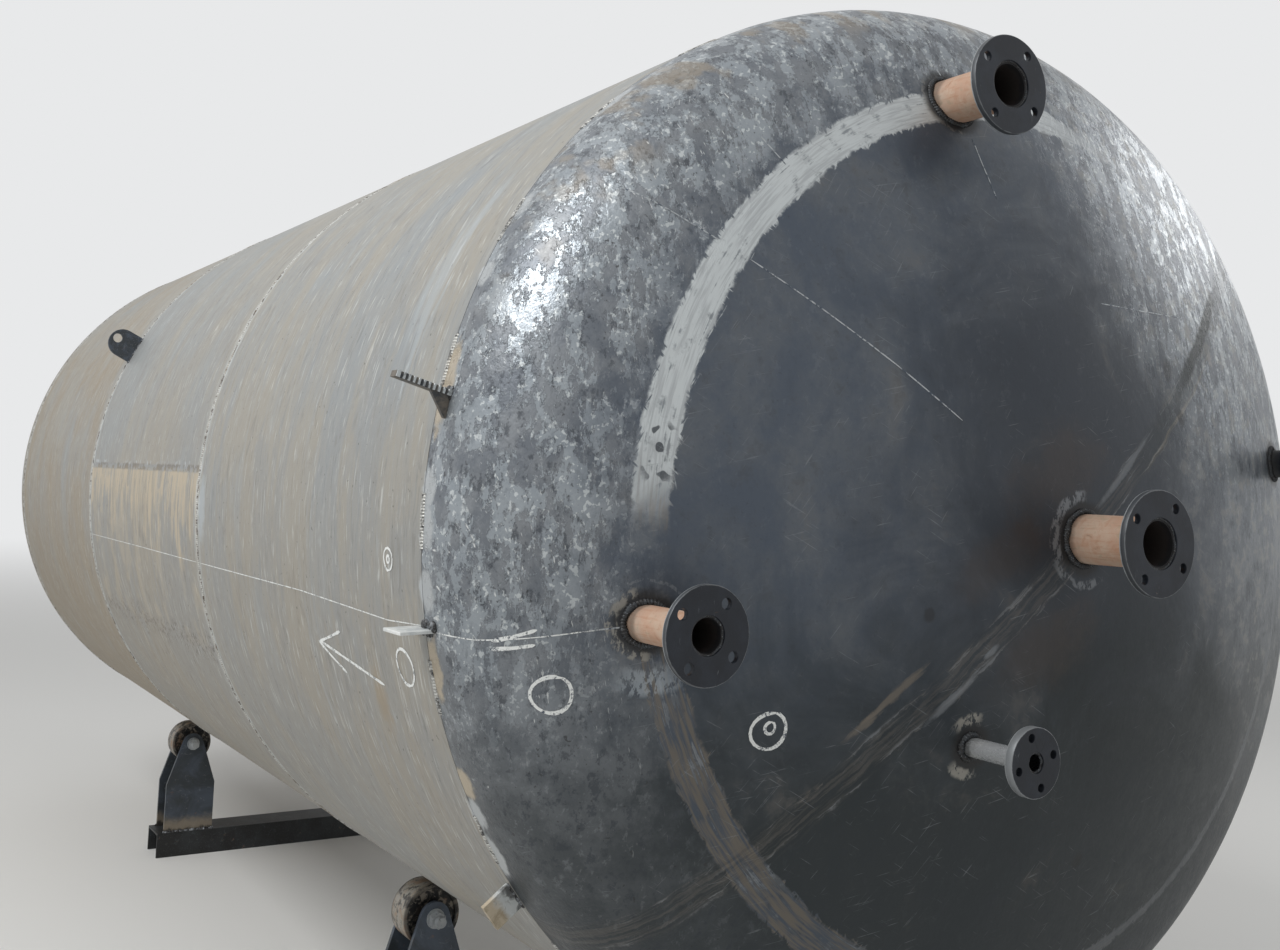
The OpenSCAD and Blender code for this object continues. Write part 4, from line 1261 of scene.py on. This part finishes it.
class TANK_OT_stage(bpy.types.Operator):
    """Floor, lamps, even light and camera"""

    bl_idname = "tank.stage"
    bl_label = "Stage"

    def execute(self, context):
        scene = context.scene
        look = scene.tank_stage
        background = rgba(paint(232, 233, 234))
        bm = bmesh.new()
        bmesh.ops.create_circle(bm, cap_ends=True, segments=look.segments, radius=FLOOR_R)
        mesh = bpy.data.meshes.new("studio_floor")
        bm.to_mesh(mesh)
        bm.free()
        floor = bpy.data.objects.new("studio_floor", mesh)
        scene.collection.objects.link(floor)
        material = bpy.data.materials.new("Studio floor")
        material.use_nodes = True
        tree = material.node_tree
        shader = tree.nodes["Principled BSDF"]
        for name, value in (("Base Color", rgba(colours().floor)), ("Roughness", 0.85), ("Specular IOR Level", 0.2)):
            shader.inputs[name].default_value = value
        glow = add_node(tree, "ShaderNodeEmission", {0: background})
        place = add_node(tree, "ShaderNodeTexCoord").outputs["Object"]
        reach = add_node(tree, "ShaderNodeVectorMath", {0: place}, operation="LENGTH").outputs["Value"]
        fade = add_node(
            tree, "ShaderNodeMapRange", {0: reach, 1: FADE_START, 2: FADE_END}, interpolation_type="SMOOTHSTEP"
        )
        blend = add_node(
            tree, "ShaderNodeMixShader", {0: fade.outputs[0], 1: shader.outputs[0], 2: glow.outputs[0]}
        )
        tree.links.new(blend.outputs[0], tree.nodes["Material Output"].inputs[0])
        mesh.materials.append(material)

        # the even light is white, and what a camera or a polished surface sees is the pale background
        world = bpy.data.worlds.new("Studio")
        world.use_nodes = True
        scene.world = world
        tree = world.node_tree
        even = tree.nodes["Background"]
        even.inputs[0].default_value = (1.0, 1.0, 1.0, 1.0)
        even.inputs[1].default_value = look.fill_level
        seen = add_node(tree, "ShaderNodeBackground", {0: background, 1: 1.0})
        rays = add_node(tree, "ShaderNodeLightPath").outputs
        shown = rays["Is Camera Ray"]
        for kind in ("Is Glossy Ray", "Is Transmission Ray"):
            shown = add_node(tree, "ShaderNodeMath", {0: shown, 1: rays[kind]}, operation="MAXIMUM").outputs[0]
        choose = add_node(tree, "ShaderNodeMixShader", {0: shown, 1: even.outputs[0], 2: seen.outputs[0]})
        tree.links.new(choose.outputs[0], tree.nodes["World Output"].inputs[0])

        def lamp(name, power, wide, high, place, target):
            data = bpy.data.lights.new(name, "AREA")
            data.shape = "RECTANGLE"
            data.size = wide
            data.size_y = high
            data.energy = power
            made = bpy.data.objects.new(name, data)
            scene.collection.objects.link(made)
            made.location = place
            made.rotation_euler = (Vector(target) - Vector(place)).to_track_quat("-Z", "Y").to_euler()

        lamp("key_lamp", look.key_power, *KEY_LAMP)
        lamp("rim_lamp", look.rim_power, *RIM_LAMP)

        data = bpy.data.cameras.new("camera")
        data.sensor_fit = "HORIZONTAL"
        data.sensor_width = SENSOR_MM
        data.lens = look.lens
        data.shift_x = SHIFT_X
        data.shift_y = SHIFT_Y
        data.clip_end = 200.0
        camera = bpy.data.objects.new("camera", data)
        scene.collection.objects.link(camera)
        yaw, pitch, roll = look.camera_yaw, look.camera_pitch, look.camera_roll
        ahead = Vector((-math.cos(yaw) * math.cos(pitch), math.sin(yaw) * math.cos(pitch), math.sin(pitch)))
        right = ahead.cross(Vector((0.0, 0.0, 1.0))).normalized()
        above = right.cross(ahead)
        level = math.cos(roll) * right + math.sin(roll) * above
        above = math.cos(roll) * above - math.sin(roll) * right
        camera.matrix_world = Matrix.Translation(Vector(look.camera_place)) @ Matrix(
            (level, above, -ahead)
        ).transposed().to_4x4()
        scene.camera = camera
        scene.view_settings.view_transform = "Standard"
        return {"FINISHED"}


OPERATORS = (
    TANK_OT_stage,
    TANK_OT_head_finish,
    TANK_OT_shell_finish,
    TANK_OT_nozzle_finish,
    TANK_OT_nozzle_beads,
    TANK_OT_fitting_finish,
    TANK_OT_weld_lumps,
    TANK_OT_stand_finish,
    TANK_OT_chalk_marks,
    TANK_OT_scratches,
)


class TANK_PT_pieces(bpy.types.Panel):
    """Lists the pieces of the tank"""

    bl_idname = "TANK_PT_pieces"
    bl_label = "Pressure tank"
    bl_space_type = "VIEW_3D"
    bl_region_type = "UI"
    bl_category = "Tank"

    def draw(self, context):
        for operator in OPERATORS:
            self.layout.operator(operator.bl_idname)


def register():
    for made in (TankColours, TankSizes, TankStage, *OPERATORS, TANK_PT_pieces):
        bpy.utils.register_class(made)
    bpy.types.Scene.tank_colours = PointerProperty(type=TankColours)
    bpy.types.Scene.tank_sizes = PointerProperty(type=TankSizes)
    bpy.types.Scene.tank_stage = PointerProperty(type=TankStage)


def unregister():
    del bpy.types.Scene.tank_stage
    del bpy.types.Scene.tank_sizes
    del bpy.types.Scene.tank_colours
    for made in reversed((TankColours, TankSizes, TankStage, *OPERATORS, TANK_PT_pieces)):
        bpy.utils.unregister_class(made)


def main():
    register()
    for operator in OPERATORS:
        section, name = operator.bl_idname.split(".")
        getattr(getattr(bpy.ops, section), name)()


if __name__ == "__main__":
    main()
